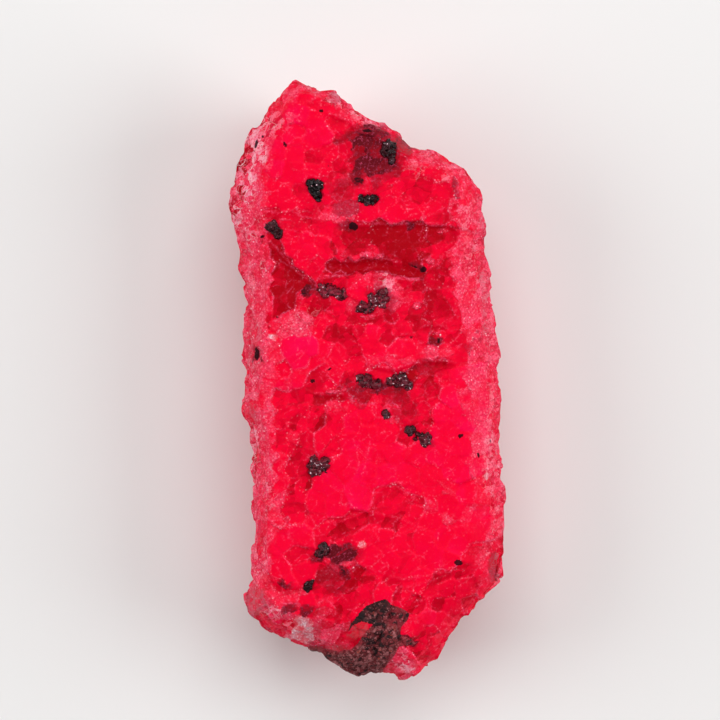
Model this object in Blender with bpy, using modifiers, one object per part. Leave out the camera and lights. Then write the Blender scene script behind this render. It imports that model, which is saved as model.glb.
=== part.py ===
"""A raw ruby crystal on its flat back, with dark grains and a remnant of matrix."""

import math

import bmesh
import bpy
import numpy as np
from mathutils import Matrix, Vector

MM = 0.001
FRONT_HEIGHT = 15.2
BACK_INSET = 4.0
BACK_TRIM = 0.5
SEAT_GAP = 0.32
MATRIX_FLOOR = 9.6
SKIN_STEP = 0.34
CRYSTAL_FACES = 5700
SIDE_CHIPS = 300
SEED = 20

# Widest outline, anticlockwise from the apex, as (x, y) in millimetres.
OUTLINE = [
    (-5.9, 25.0),
    (-6.6, 24.8),
    (-7.1, 24.1),
    (-8.1, 23.05),
    (-8.45, 22.2),
    (-9.1, 21.35),
    (-9.9, 20.65),
    (-10.35, 18.9),
    (-10.85, 17.4),
    (-11.45, 15.1),
    (-11.45, 14.1),
    (-11.15, 13.1),
    (-10.62, 11.1),
    (-10.75, 10.0),
    (-10.2, 8.3),
    (-10.05, 6.6),
    (-10.4, 4.1),
    (-10.2, 3.05),
    (-10.5, 2.0),
    (-10.1, 0.8),
    (-10.38, -2.7),
    (-9.72, -4.0),
    (-9.42, -6.0),
    (-9.65, -7.5),
    (-9.45, -8.8),
    (-9.65, -10.8),
    (-9.3, -12.0),
    (-9.25, -13.8),
    (-9.55, -15.8),
    (-9.55, -17.0),
    (-10.02, -18.4),
    (-9.6, -19.75),
    (-8.75, -20.75),
    (-7.2, -21.55),
    (-6.5, -21.62),
    (-4.9, -22.25),
    (-3.8, -22.6),
    (-2.05, -23.85),
    (-0.7, -24.65),
    (0.3, -24.2),
    (2.0, -24.5),
    (2.95, -25.0),
    (3.4, -25.0),
    (4.4, -24.3),
    (5.85, -23.2),
    (6.6, -21.9),
    (7.55, -20.2),
    (9.0, -19.0),
    (11.0, -16.7),
    (11.3, -15.0),
    (11.45, -13.0),
    (11.45, -8.9),
    (11.1, -7.95),
    (11.25, -6.5),
    (11.2, -3.6),
    (11.3, -1.1),
    (11.0, 0.3),
    (11.15, 2.2),
    (10.75, 3.8),
    (10.6, 6.0),
    (10.2, 8.0),
    (10.2, 9.3),
    (9.9, 11.4),
    (10.05, 12.3),
    (9.5, 14.5),
    (9.45, 15.7),
    (8.9, 16.6),
    (8.1, 17.9),
    (7.2, 18.0),
    (6.2, 18.9),
    (4.4, 19.25),
    (3.2, 20.0),
    (2.4, 20.95),
    (1.7, 21.1),
    (0.4, 21.85),
    (-1.1, 22.55),
    (-2.2, 23.7),
    (-3.0, 24.15),
    (-3.7, 24.12),
    (-5.0, 24.65),
]

# Around the crystal: turn in degrees, width of the sloping side band, height of the widest line.
BANDS = [
    (0, 2.6, 8.0),
    (23, 2.9, 8.0),
    (33, 1.9, 9.0),
    (43, 1.5, 10.0),
    (60, 1.6, 11.0),
    (80, 1.2, 11.5),
    (100, 1.0, 12.0),
    (117, 1.0, 11.5),
    (129, 2.0, 10.0),
    (149, 2.6, 8.5),
    (157, 2.3, 8.0),
    (180, 1.3, 8.0),
    (201, 1.6, 8.5),
    (214, 1.0, 8.5),
    (229, 2.6, 9.0),
    (250, 3.0, 9.5),
    (267, 3.2, 9.0),
    (285, 2.6, 9.5),
    (302, 3.2, 10.0),
    (325, 3.0, 10.5),
    (338, 2.3, 8.5),
    (360, 2.6, 8.0),
]

# Facets of the front: centre x, y, reach, rise, fall to the right, fall to the far end.
FACETS = [
    (-5.7, 24.2, 1.0, -0.3, 0.0, -0.3),
    (-4.6, 22.6, 1.2, 0.0, 0.05, -0.1),
    (-7.2, 22.4, 1.1, -0.3, 0.25, -0.1),
    (-2.2, 22.0, 1.0, -0.1, 0.1, -0.2),
    (-4.6, 20.0, 1.8, 0.25, 0.03, 0.04),
    (-8.3, 20.6, 1.0, -0.5, 0.3, 0.0),
    (-6.2, 17.6, 1.8, 0.3, 0.05, -0.04),
    (-9.0, 17.2, 1.2, -0.4, 0.35, 0.0),
    (-3.4, 17.8, 1.3, 0.1, 0.0, 0.05),
    (-1.2, 19.6, 1.2, -0.1, -0.05, 0.08),
    (0.6, 18.8, 1.2, -0.35, 0.0, 0.05),
    (1.0, 21.0, 0.9, -0.4, -0.1, -0.25),
    (3.4, 18.6, 1.0, -0.1, -0.1, -0.2),
    (5.8, 17.9, 1.1, -0.4, -0.15, -0.25),
    (-7.0, 15.2, 1.5, 0.2, 0.05, 0.05),
    (-2.0, 15.2, 1.4, 0.0, 0.0, 0.1),
    (1.4, 15.6, 1.4, 0.15, 0.0, 0.05),
    (5.0, 15.6, 1.6, 0.0, -0.06, 0.1),
    (8.6, 16.0, 0.9, -0.6, -0.3, -0.2),
    (2.8, 13.9, 1.4, 0.45, 0.0, -0.05),
    (6.2, 13.9, 1.2, 0.35, -0.05, -0.08),
    (-5.2, 13.9, 1.2, 0.2, 0.0, 0.0),
    (-8.0, 13.2, 1.0, 0.0, 0.15, 0.0),
    (-1.0, 13.6, 1.0, 0.2, 0.0, 0.0),
    (1.6, 12.1, 1.3, -0.85, 0.0, 0.1),
    (4.0, 11.9, 1.3, -0.8, 0.0, 0.12),
    (6.3, 11.8, 1.1, -0.5, 0.05, 0.05),
    (3.4, 10.6, 1.0, -0.35, 0.0, 0.05),
    (5.8, 10.1, 1.0, -0.1, 0.0, 0.0),
    (-0.6, 11.4, 1.2, -0.3, 0.0, 0.1),
    (-3.0, 12.0, 1.2, -0.05, 0.0, 0.05),
    (-5.4, 11.6, 1.2, 0.3, 0.0, 0.0),
    (-4.9, 10.0, 1.1, 0.4, 0.05, 0.0),
    (-2.4, 9.6, 0.8, -0.95, 0.0, 0.15),
    (-0.6, 9.6, 0.8, -1.0, 0.0, 0.15),
    (1.2, 9.7, 0.8, -1.0, 0.0, 0.15),
    (3.0, 9.4, 0.8, -0.95, 0.0, 0.1),
    (4.3, 9.1, 0.6, -0.9, 0.0, 0.1),
    (-7.8, 11.2, 0.9, -0.5, 0.1, 0.0),
    (-6.6, 9.0, 0.9, -0.9, 0.05, 0.1),
    (-6.7, 7.2, 1.1, -0.75, 0.0, 0.1),
    (-8.6, 8.6, 1.0, -0.3, 0.2, 0.0),
    (-3.2, 8.0, 1.1, -0.2, 0.0, 0.05),
    (-0.6, 7.6, 1.0, 0.15, 0.0, 0.0),
    (1.2, 8.4, 0.8, 0.1, 0.0, -0.1),
    (3.4, 7.6, 1.1, -0.05, 0.0, 0.05),
    (6.0, 8.3, 1.1, 0.05, -0.05, 0.0),
    (5.7, 6.1, 1.4, -0.15, 0.03, 0.06),
    (2.4, 5.6, 1.2, -0.1, 0.0, 0.0),
    (-0.4, 5.4, 1.2, -0.05, 0.0, 0.0),
    (-3.6, 6.0, 1.3, 0.0, 0.0, -0.05),
    (-6.0, 4.5, 1.2, 0.55, 0.0, -0.05),
    (-8.2, 5.0, 1.0, -0.5, 0.25, 0.0),
    (-5.6, 2.4, 1.5, 0.1, 0.05, 0.05),
    (-2.4, 3.2, 1.5, 0.1, 0.0, 0.0),
    (0.6, 3.4, 1.4, 0.15, 0.0, -0.02),
    (3.2, 3.6, 1.2, 0.1, 0.0, 0.0),
    (5.6, 3.4, 0.7, -0.65, 0.0, 0.0),
    (6.6, 4.6, 1.0, 0.0, 0.0, 0.0),
    (2.2, 1.8, 1.3, 0.55, 0.0, -0.03),
    (5.6, 2.3, 1.0, 0.3, -0.03, 0.0),
    (4.4, 0.7, 1.0, -0.45, 0.0, 0.1),
    (6.8, 0.9, 1.1, -0.15, 0.0, 0.05),
    (1.0, 0.2, 1.2, -0.4, 0.0, 0.15),
    (-2.6, 0.6, 1.2, 0.1, 0.0, 0.0),
    (-6.6, 0.2, 1.4, 0.05, 0.08, 0.0),
    (-2.4, -1.45, 0.7, -0.5, 0.0, 0.0),
    (-4.8, -1.8, 1.2, 0.0, 0.0, 0.02),
    (-7.4, -2.2, 1.3, 0.0, 0.15, 0.0),
    (0.8, -1.7, 1.1, -0.15, 0.0, -0.05),
    (3.4, -1.8, 1.2, -0.1, 0.0, -0.05),
    (7.0, -1.9, 1.4, 0.15, -0.06, 0.0),
    (0.0, -3.6, 1.5, 0.15, 0.0, 0.0),
    (3.2, -3.9, 1.2, -0.05, 0.0, 0.0),
    (-3.2, -4.2, 1.4, 0.1, 0.0, 0.0),
    (-6.2, -4.8, 1.4, -0.05, 0.08, 0.0),
    (2.4, -6.2, 1.8, 0.2, 0.0, 0.02),
    (6.8, -6.0, 2.0, 0.2, -0.05, 0.0),
    (-1.4, -7.0, 2.0, 0.25, 0.0, 0.02),
    (-6.2, -8.0, 1.5, 0.0, 0.1, 0.0),
    (2.2, -9.9, 1.6, 0.05, -0.06, 0.1),
    (-2.4, -9.8, 1.6, 0.3, 0.0, -0.03),
    (5.8, -9.8, 1.5, 0.1, -0.04, 0.02),
    (8.6, -10.6, 1.3, -0.1, -0.15, 0.0),
    (-5.9, -11.2, 1.5, 0.1, 0.06, 0.0),
    (-1.0, -12.2, 1.2, -0.1, 0.0, 0.12),
    (-3.3, -12.5, 1.1, -0.05, 0.0, 0.1),
    (2.4, -13.2, 1.6, 0.05, 0.0, 0.03),
    (6.2, -13.2, 1.6, 0.1, -0.05, 0.0),
    (-6.6, -14.6, 1.4, 0.05, 0.08, 0.0),
    (-1.8, -15.0, 1.2, -0.25, 0.0, 0.05),
    (1.6, -16.0, 1.2, 0.1, -0.05, 0.12),
    (4.6, -15.4, 1.5, 0.2, -0.03, 0.02),
    (8.0, -15.8, 1.0, -0.55, -0.12, 0.15),
    (5.8, -17.3, 1.2, -0.7, -0.08, 0.18),
    (8.0, -17.8, 1.4, -1.1, -0.2, 0.2),
    (5.8, -19.6, 1.4, -1.3, -0.12, 0.15),
    (3.0, -18.0, 1.1, -0.35, 0.0, 0.15),
    (-0.8, -17.6, 1.3, -0.2, 0.0, 0.15),
    (-3.2, -17.4, 1.2, -0.3, 0.05, 0.1),
    (-6.6, -17.8, 1.2, -0.5, 0.1, 0.1),
    (-3.0, -20.2, 1.3, -0.8, 0.05, 0.2),
    (-5.6, -20.4, 1.1, -0.8, 0.05, 0.15),
    (0.6, -20.2, 1.4, -0.7, 0.0, 0.2),
    (4.4, -21.8, 1.3, -1.6, -0.1, 0.15),
    (1.2, -22.6, 1.2, -1.5, 0.0, 0.2),
    (3.2, -23.6, 1.0, -1.8, 0.0, 0.2),
]

# Seat of the matrix remnant at the foot, as a plan outline.
MATRIX_PLAN = [
    (-1.5, -20.8),
    (-0.7, -19.4),
    (0.8, -18.4),
    (1.7, -18.2),
    (3.0, -18.95),
    (3.5, -19.6),
    (2.8, -20.8),
    (3.9, -21.7),
    (2.6, -22.2),
    (1.9, -23.3),
    (1.2, -24.4),
    (0.6, -26.0),
    (-3.4, -26.0),
    (-4.2, -23.6),
    (-3.0, -22.5),
    (-0.6, -21.5),
]

# Dark grains: name, then one (x, y, radius) for each lobe grown into it.
GRAINS = [
    ("grain_apex_left", [(-4.45, 16.2, 0.72), (-3.95, 16.0, 0.5), (-4.05, 15.35, 0.5)]),
    ("grain_upper_middle", [(-0.15, 15.05, 0.42), (0.45, 15.1, 0.45)]),
    ("grain_upper_left", [(-7.95, 12.75, 0.55), (-7.4, 12.3, 0.52)]),
    ("grain_upper_right", [(1.8, 19.4, 0.6), (2.0, 18.7, 0.55)]),
    ("grain_chain", [(-3.5, 7.4, 0.5), (-2.8, 7.45, 0.48), (-2.1, 7.15, 0.48)]),
    ("grain_tilted", [(-0.4, 6.05, 0.5), (0.3, 6.3, 0.55), (1.0, 6.7, 0.6), (1.5, 7.0, 0.5)]),
    ("grain_long_left", [(-0.2, 0.0, 0.62), (0.65, -0.25, 0.55)]),
    ("grain_long_right", [(2.35, 0.0, 0.5), (3.0, 0.05, 0.58), (3.45, -0.4, 0.42)]),
    ("grain_round", [(1.55, -2.75, 0.42)]),
    ("grain_row_first", [(3.62, -4.1, 0.48)]),
    ("grain_row_second", [(4.9, -4.95, 0.55)]),
    ("grain_low_left", [(-4.45, -7.1, 0.62), (-3.6, -6.95, 0.55)]),
    ("grain_wedge", [(-3.55, -14.05, 0.55), (-3.95, -14.35, 0.45)]),
    ("grain_kite", [(-4.85, -17.05, 0.5)]),
]


class LatticeNoise:
    """Smooth noise in three dimensions from random values on a lattice."""

    def __init__(self, seed):
        self.values = np.random.default_rng(seed).uniform(-1.0, 1.0, (32, 32, 32))

    def at(self, points, size):
        """Noise from -1 to 1 at each point, with lumps about one size across."""
        scaled = points / size
        base = np.floor(scaled).astype(int)
        part = scaled - base
        part = part * part * (3.0 - 2.0 * part)
        total = np.zeros(len(points))
        for step in np.ndindex(2, 2, 2):
            cell = (base + step) % 32
            share = np.prod(np.where(step, part, 1.0 - part), axis=1)
            total += share * self.values[cell[:, 0], cell[:, 1], cell[:, 2]]
        return total


def remove_everything():
    """Clear the objects that a new file holds."""
    for item in list(bpy.data.objects):
        bpy.data.objects.remove(item)


def collection(name):
    """Add a collection to the scene."""
    made = bpy.data.collections.new(name)
    bpy.context.scene.collection.children.link(made)
    return made


def material(name, colour, roughness):
    """Plain non-metal finish."""
    made = bpy.data.materials.new(name)
    made.use_nodes = True
    shader = made.node_tree.nodes["Principled BSDF"]
    shader.inputs["Base Color"].default_value = (*colour, 1.0)
    shader.inputs["Roughness"].default_value = roughness
    shader.inputs["Metallic"].default_value = 0.0
    return made


def add_object(name, mesh, home):
    """Link a mesh into a collection as an object."""
    item = bpy.data.objects.new(name, mesh)
    home.objects.link(item)
    return item


def bake(item):
    """Replace an object's mesh by its modified shape."""
    bpy.context.view_layer.update()
    graph = bpy.context.evaluated_depsgraph_get()
    mesh = bpy.data.meshes.new_from_object(item.evaluated_get(graph))
    item.modifiers.clear()
    item.data = mesh


def skin(item, step):
    """Rebuild the surface as an even skin."""
    remesh = item.modifiers.new("skin", "REMESH")
    remesh.mode = "VOXEL"
    remesh.voxel_size = step
    bake(item)


def thin(item, faces):
    """Merge faces until about this many triangles are left."""
    item.data.calc_loop_triangles()
    ratio = faces / len(item.data.loop_triangles)
    decimate = item.modifiers.new("thin", "DECIMATE")
    decimate.ratio = min(1.0, ratio)
    decimate.use_collapse_triangulate = True
    bake(item)


def combine(item, other, operation):
    """Apply a Boolean of one object with another."""
    boolean = item.modifiers.new(operation.lower(), "BOOLEAN")
    boolean.operation = operation
    boolean.solver = "EXACT"
    boolean.object = other
    bake(item)


def toward_spine(points):
    """Unit directions from plan points toward the crystal's spine."""
    low = np.array([1.0, -14.0])
    high = np.array([-2.0, 14.0])
    run = high - low
    share = np.clip((points - low) @ run / (run @ run), 0.0, 1.0)
    nearest = low + share[:, None] * run
    away = nearest - points
    return away / np.linalg.norm(away, axis=1)[:, None]


def eased(points):
    """The outline with its small bumps averaged out."""
    total = points.copy()
    for step in (-2, -1, 1, 2):
        total += np.roll(points, step, axis=0)
    return total / 5.0


def even_outline(points, step):
    """The closed outline with points at even steps along it."""
    closed = np.vstack([points, points[:1]])
    lengths = np.linalg.norm(np.diff(closed, axis=0), axis=1)
    along = np.concatenate([[0.0], np.cumsum(lengths)])
    count = int(along[-1] / step)
    wanted = np.arange(count) * along[-1] / count
    x = np.interp(wanted, along, closed[:, 0])
    y = np.interp(wanted, along, closed[:, 1])
    return np.column_stack([x, y])


def crystal_rings():
    """Sections of the blank from the back up to the front, with equal point counts."""
    outline = even_outline(np.array(OUTLINE), 0.6)
    smooth = eased(outline)
    inward = toward_spine(smooth)
    turn = np.degrees(np.arctan2(outline[:, 1] / 25.0, outline[:, 0] / 11.5)) % 360.0
    bands = np.array(BANDS)
    width = np.interp(turn, bands[:, 0], bands[:, 1])[:, None]
    rim = np.interp(turn, bands[:, 0], bands[:, 2])
    rise = FRONT_HEIGHT - rim
    levels = [
        (smooth + inward * BACK_INSET, np.full(len(rim), -BACK_TRIM)),
        (smooth + inward * 0.9, rim * 0.45),
        (outline, rim - 0.4),
        (outline, rim + 0.4),
        (smooth + inward * width * 0.42, rim + rise * 0.62),
        (smooth + inward * width, np.full(len(rim), FRONT_HEIGHT)),
    ]
    return [np.column_stack([plan, height]) for plan, height in levels]


def loft(rings):
    """Closed mesh through the sections, capped at both ends."""
    work = bmesh.new()
    rows = []
    for ring in rings:
        rows.append([work.verts.new(Vector(point)) for point in ring])
    count = len(rows[0])
    for lower, upper in zip(rows, rows[1:]):
        for index in range(count):
            after = (index + 1) % count
            work.faces.new((lower[index], lower[after], upper[after], upper[index]))
    work.faces.new(list(reversed(rows[0])))
    work.faces.new(rows[-1])
    bmesh.ops.recalc_face_normals(work, faces=work.faces)
    mesh = bpy.data.meshes.new("blank")
    work.to_mesh(mesh)
    work.free()
    return mesh


def coordinates(mesh):
    """Vertex positions of a mesh as rows."""
    values = np.empty(len(mesh.vertices) * 3)
    mesh.vertices.foreach_get("co", values)
    return values.reshape(-1, 3)


def normals(mesh):
    """Vertex normals of a mesh as rows."""
    values = np.empty(len(mesh.vertices) * 3)
    mesh.vertex_normals.foreach_get("vector", values)
    return values.reshape(-1, 3)


def facet_relief(plan, facets, blend):
    """Rise of the front at plan points, each point on the plane of the facet that owns it."""
    seeds = np.array(facets)
    across = plan[:, 0][:, None] - seeds[:, 0]
    along = plan[:, 1][:, None] - seeds[:, 1]
    power = across ** 2 + along ** 2 - seeds[:, 2] ** 2
    share = np.exp(-(power - power.min(axis=1)[:, None]) / blend)
    plane = seeds[:, 3] + seeds[:, 4] * across + seeds[:, 5] * along
    return (share * plane).sum(axis=1) / share.sum(axis=1)


def chip_relief(points, blend):
    """Rise of the sides, broken into small flat chips at random tilts."""
    choice = np.random.default_rng(SEED + 2)
    seeds = points[choice.choice(len(points), SIDE_CHIPS, replace=False)]
    rise = choice.uniform(-0.22, 0.16, SIDE_CHIPS)
    tilt = choice.uniform(-0.13, 0.13, (SIDE_CHIPS, 3))
    apart = points[:, None, :] - seeds
    power = (apart ** 2).sum(axis=2)
    share = np.exp(-(power - power.min(axis=1)[:, None]) / blend)
    plane = rise + (apart * tilt).sum(axis=2)
    return (share * plane).sum(axis=1) / share.sum(axis=1)


def smooth_step(low, high, value):
    """Ease from 0 to 1 between two values."""
    share = np.clip((value - low) / (high - low), 0.0, 1.0)
    return share * share * (3.0 - 2.0 * share)


def shape_surface(mesh):
    """Press facets into the front and lumps into the sides."""
    field = LatticeNoise(SEED)
    points = coordinates(mesh)
    facing = normals(mesh)
    front = smooth_step(0.25, 0.7, facing[:, 2]) * smooth_step(11.0, 13.5, points[:, 2])
    bent = points.copy()
    bent[:, 0] += 0.22 * field.at(points, 1.6)
    bent[:, 1] += 0.22 * field.at(points + 9.0, 1.6)
    relief = facet_relief(bent[:, :2], FACETS, 0.35)
    crown = -0.009 * points[:, 0] ** 2
    points[:, 2] += front * (relief + crown)
    side = (1.0 - front) * smooth_step(0.3, 2.5, points[:, 2])
    slope = 0.4 + 0.6 * smooth_step(0.1, 0.45, np.abs(facing[:, 2]))
    lumps = 0.16 * field.at(points, 2.6) + 0.1 * field.at(points + 5.0, 1.1)
    chips = 1.6 * chip_relief(bent, 0.4)
    points += facing * (side * slope * (lumps + chips))[:, None]
    mesh.vertices.foreach_set("co", points.ravel())
    mesh.update()


def flatten_back(mesh):
    """Cut the back off level at the resting height and close it."""
    work = bmesh.new()
    work.from_mesh(mesh)
    everything = work.verts[:] + work.edges[:] + work.faces[:]
    cut = bmesh.ops.bisect_plane(
        work,
        geom=everything,
        dist=0.0005,
        plane_co=(0.0, 0.0, 0.0),
        plane_no=(0.0, 0.0, -1.0),
        clear_outer=True,
    )
    rim = [part for part in cut["geom_cut"] if isinstance(part, bmesh.types.BMEdge)]
    bmesh.ops.holes_fill(work, edges=rim, sides=0)
    bmesh.ops.triangulate(work, faces=work.faces[:])
    bmesh.ops.recalc_face_normals(work, faces=work.faces[:])
    work.to_mesh(mesh)
    work.free()


def front_height(item, x, y):
    """Height of the object's top surface over a plan point."""
    bpy.context.view_layer.update()
    hit, place, _, _ = item.ray_cast(Vector((x, y, 40.0)), Vector((0.0, 0.0, -1.0)))
    return place.z if hit else FRONT_HEIGHT


def prism(name, plan, low, high, home):
    """Upright block over a plan outline."""
    work = bmesh.new()
    base = [work.verts.new((x, y, low)) for x, y in plan]
    face = work.faces.new(base)
    raised = bmesh.ops.extrude_face_region(work, geom=[face])
    top = [part for part in raised["geom"] if isinstance(part, bmesh.types.BMVert)]
    bmesh.ops.translate(work, verts=top, vec=(0.0, 0.0, high - low))
    bmesh.ops.recalc_face_normals(work, faces=work.faces[:])
    mesh = bpy.data.meshes.new(name)
    work.to_mesh(mesh)
    work.free()
    return add_object(name, mesh, home)


def grown_outline(plan, amount):
    """Plan outline moved outward by an even amount, corner by corner."""
    points = np.array(plan)
    before = points - np.roll(points, 1, axis=0)
    after = np.roll(points, -1, axis=0) - points
    before /= np.linalg.norm(before, axis=1)[:, None]
    after /= np.linalg.norm(after, axis=1)[:, None]
    area = np.sum(points[:, 0] * np.roll(points[:, 1], -1) - points[:, 1] * np.roll(points[:, 0], -1))
    side = 1.0 if area > 0.0 else -1.0
    first = np.column_stack([before[:, 1], -before[:, 0]]) * side
    second = np.column_stack([after[:, 1], -after[:, 0]]) * side
    bisector = first + second
    scale = 2.0 / np.maximum(np.sum(bisector ** 2, axis=1), 1.0)
    return points + bisector * (scale * amount)[:, None]


def lobed_grain(name, lobes, crystal, field, extra, home):
    """Rough rounded grain set into the front, larger all round by the extra amount."""
    work = bmesh.new()
    for x, y, radius in lobes:
        height = front_height(crystal, x, y) - 0.45 * radius
        place = Matrix.Translation((x, y, height))
        bmesh.ops.create_icosphere(work, subdivisions=2, radius=radius + extra, matrix=place)
    mesh = bpy.data.meshes.new(name)
    work.to_mesh(mesh)
    work.free()
    item = add_object(name, mesh, home)
    skin(item, 0.16)
    points = coordinates(item.data)
    points += normals(item.data) * (0.07 * field.at(points, 0.55))[:, None]
    item.data.vertices.foreach_set("co", points.ravel())
    item.data.update()
    return item


def set_grain(name, lobes, crystal, field, home, cutters):
    """Cut one pocket into the crystal and set the grain in it."""
    grain = lobed_grain(name, lobes, crystal, field, 0.0, home)
    pocket = lobed_grain(name + "_pocket", lobes, crystal, field, SEAT_GAP, cutters)
    thin(grain, 60 + 36 * len(lobes))
    thin(pocket, 46 + 26 * len(lobes))
    combine(crystal, pocket, "DIFFERENCE")
    return grain


def tidy_mesh(item, finish):
    """Triangulate, close up slivers, give the finish and bring the size to metres."""
    work = bmesh.new()
    work.from_mesh(item.data)
    bmesh.ops.remove_doubles(work, verts=work.verts[:], dist=0.004)
    bmesh.ops.dissolve_degenerate(work, edges=work.edges[:], dist=0.004)
    bmesh.ops.triangulate(work, faces=work.faces[:])
    bmesh.ops.transform(work, matrix=Matrix.Scale(MM, 4), verts=work.verts[:])
    work.to_mesh(item.data)
    work.free()
    item.data.materials.clear()
    item.data.materials.append(finish)


def hide_cutters(cutters):
    """Keep the cutters as wires that don't render."""
    for item in cutters.objects:
        item.display_type = "WIRE"
        item.hide_render = True
        item.data.transform(Matrix.Scale(MM, 4))


def build():
    """Make the crystal, its matrix remnant and its dark grains."""
    remove_everything()
    home = collection("raw_ruby_crystal")
    cutters = collection("cutters")
    ruby = material("ruby", (0.72, 0.012, 0.045), 0.45)
    matrix = material("dark_matrix", (0.09, 0.028, 0.03), 0.85)
    black = material("black_mineral", (0.012, 0.008, 0.01), 0.4)
    field = LatticeNoise(SEED + 1)

    crystal = add_object("ruby_crystal", loft(crystal_rings()), home)
    skin(crystal, SKIN_STEP)
    shape_surface(crystal.data)
    thin(crystal, CRYSTAL_FACES)
    flatten_back(crystal.data)

    remnant = prism("dark_matrix", grown_outline(MATRIX_PLAN, -SEAT_GAP / 2), MATRIX_FLOOR, 20.0, home)
    combine(remnant, crystal, "INTERSECT")
    seat = prism(
        "matrix_seat",
        grown_outline(MATRIX_PLAN, SEAT_GAP / 2),
        MATRIX_FLOOR - SEAT_GAP,
        22.0,
        cutters,
    )
    combine(crystal, seat, "DIFFERENCE")

    grains = []
    for name, lobes in GRAINS:
        grains.append(set_grain(name, lobes, crystal, field, home, cutters))

    tidy_mesh(crystal, ruby)
    tidy_mesh(remnant, matrix)
    for grain in grains:
        tidy_mesh(grain, black)
    hide_cutters(cutters)


build()
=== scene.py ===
"""Looks of a raw ruby crystal with dark mineral grains and a remnant of its matrix."""

import logging
import math
from dataclasses import dataclass, field
from enum import Enum

import bmesh
import bpy
import numpy as np
from mathutils import Matrix, Vector

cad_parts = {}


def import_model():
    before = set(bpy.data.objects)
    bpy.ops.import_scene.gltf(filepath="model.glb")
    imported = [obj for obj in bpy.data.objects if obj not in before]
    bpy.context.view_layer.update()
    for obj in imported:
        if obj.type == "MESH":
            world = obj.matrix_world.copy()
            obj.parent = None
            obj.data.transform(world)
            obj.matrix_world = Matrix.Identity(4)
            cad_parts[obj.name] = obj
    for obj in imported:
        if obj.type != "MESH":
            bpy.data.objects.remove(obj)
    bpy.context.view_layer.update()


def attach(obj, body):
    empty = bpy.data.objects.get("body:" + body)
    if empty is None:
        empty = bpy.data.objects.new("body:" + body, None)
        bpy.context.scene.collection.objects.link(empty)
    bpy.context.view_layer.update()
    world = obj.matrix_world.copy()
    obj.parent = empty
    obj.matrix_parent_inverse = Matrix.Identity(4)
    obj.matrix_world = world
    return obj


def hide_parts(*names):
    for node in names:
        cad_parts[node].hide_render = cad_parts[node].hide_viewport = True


LOG = logging.getLogger("ruby")
MM = 0.001
LATTICE = 32
POINTS_AT_ONCE = 8192

Array = np.ndarray
Item = bpy.types.Object
Mesh = bpy.types.Mesh
Material = bpy.types.Material
Tree = bpy.types.NodeTree
Node = bpy.types.Node
Socket = bpy.types.NodeSocket
Rows = tuple[tuple[float, ...], ...]
Colour = tuple[float, float, float]
Place = tuple[float, float, float]
Spot = tuple[float, float]


class Slot(Enum):
    """Material slots of the record."""

    RUBY = "ruby"
    MATRIX = "dark_matrix"
    GRAIN = "black_mineral"


class Mark(Enum):
    """What a mark on the crystal is."""

    SMOKE = "smoke"
    FROST = "frost"
    WHITE = "white"
    BROWN = "brown"
    SPECK = "speck"
    # Painted highlight on frosted plates, strongest on the left band.
    GLEAM = "gleam"


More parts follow.
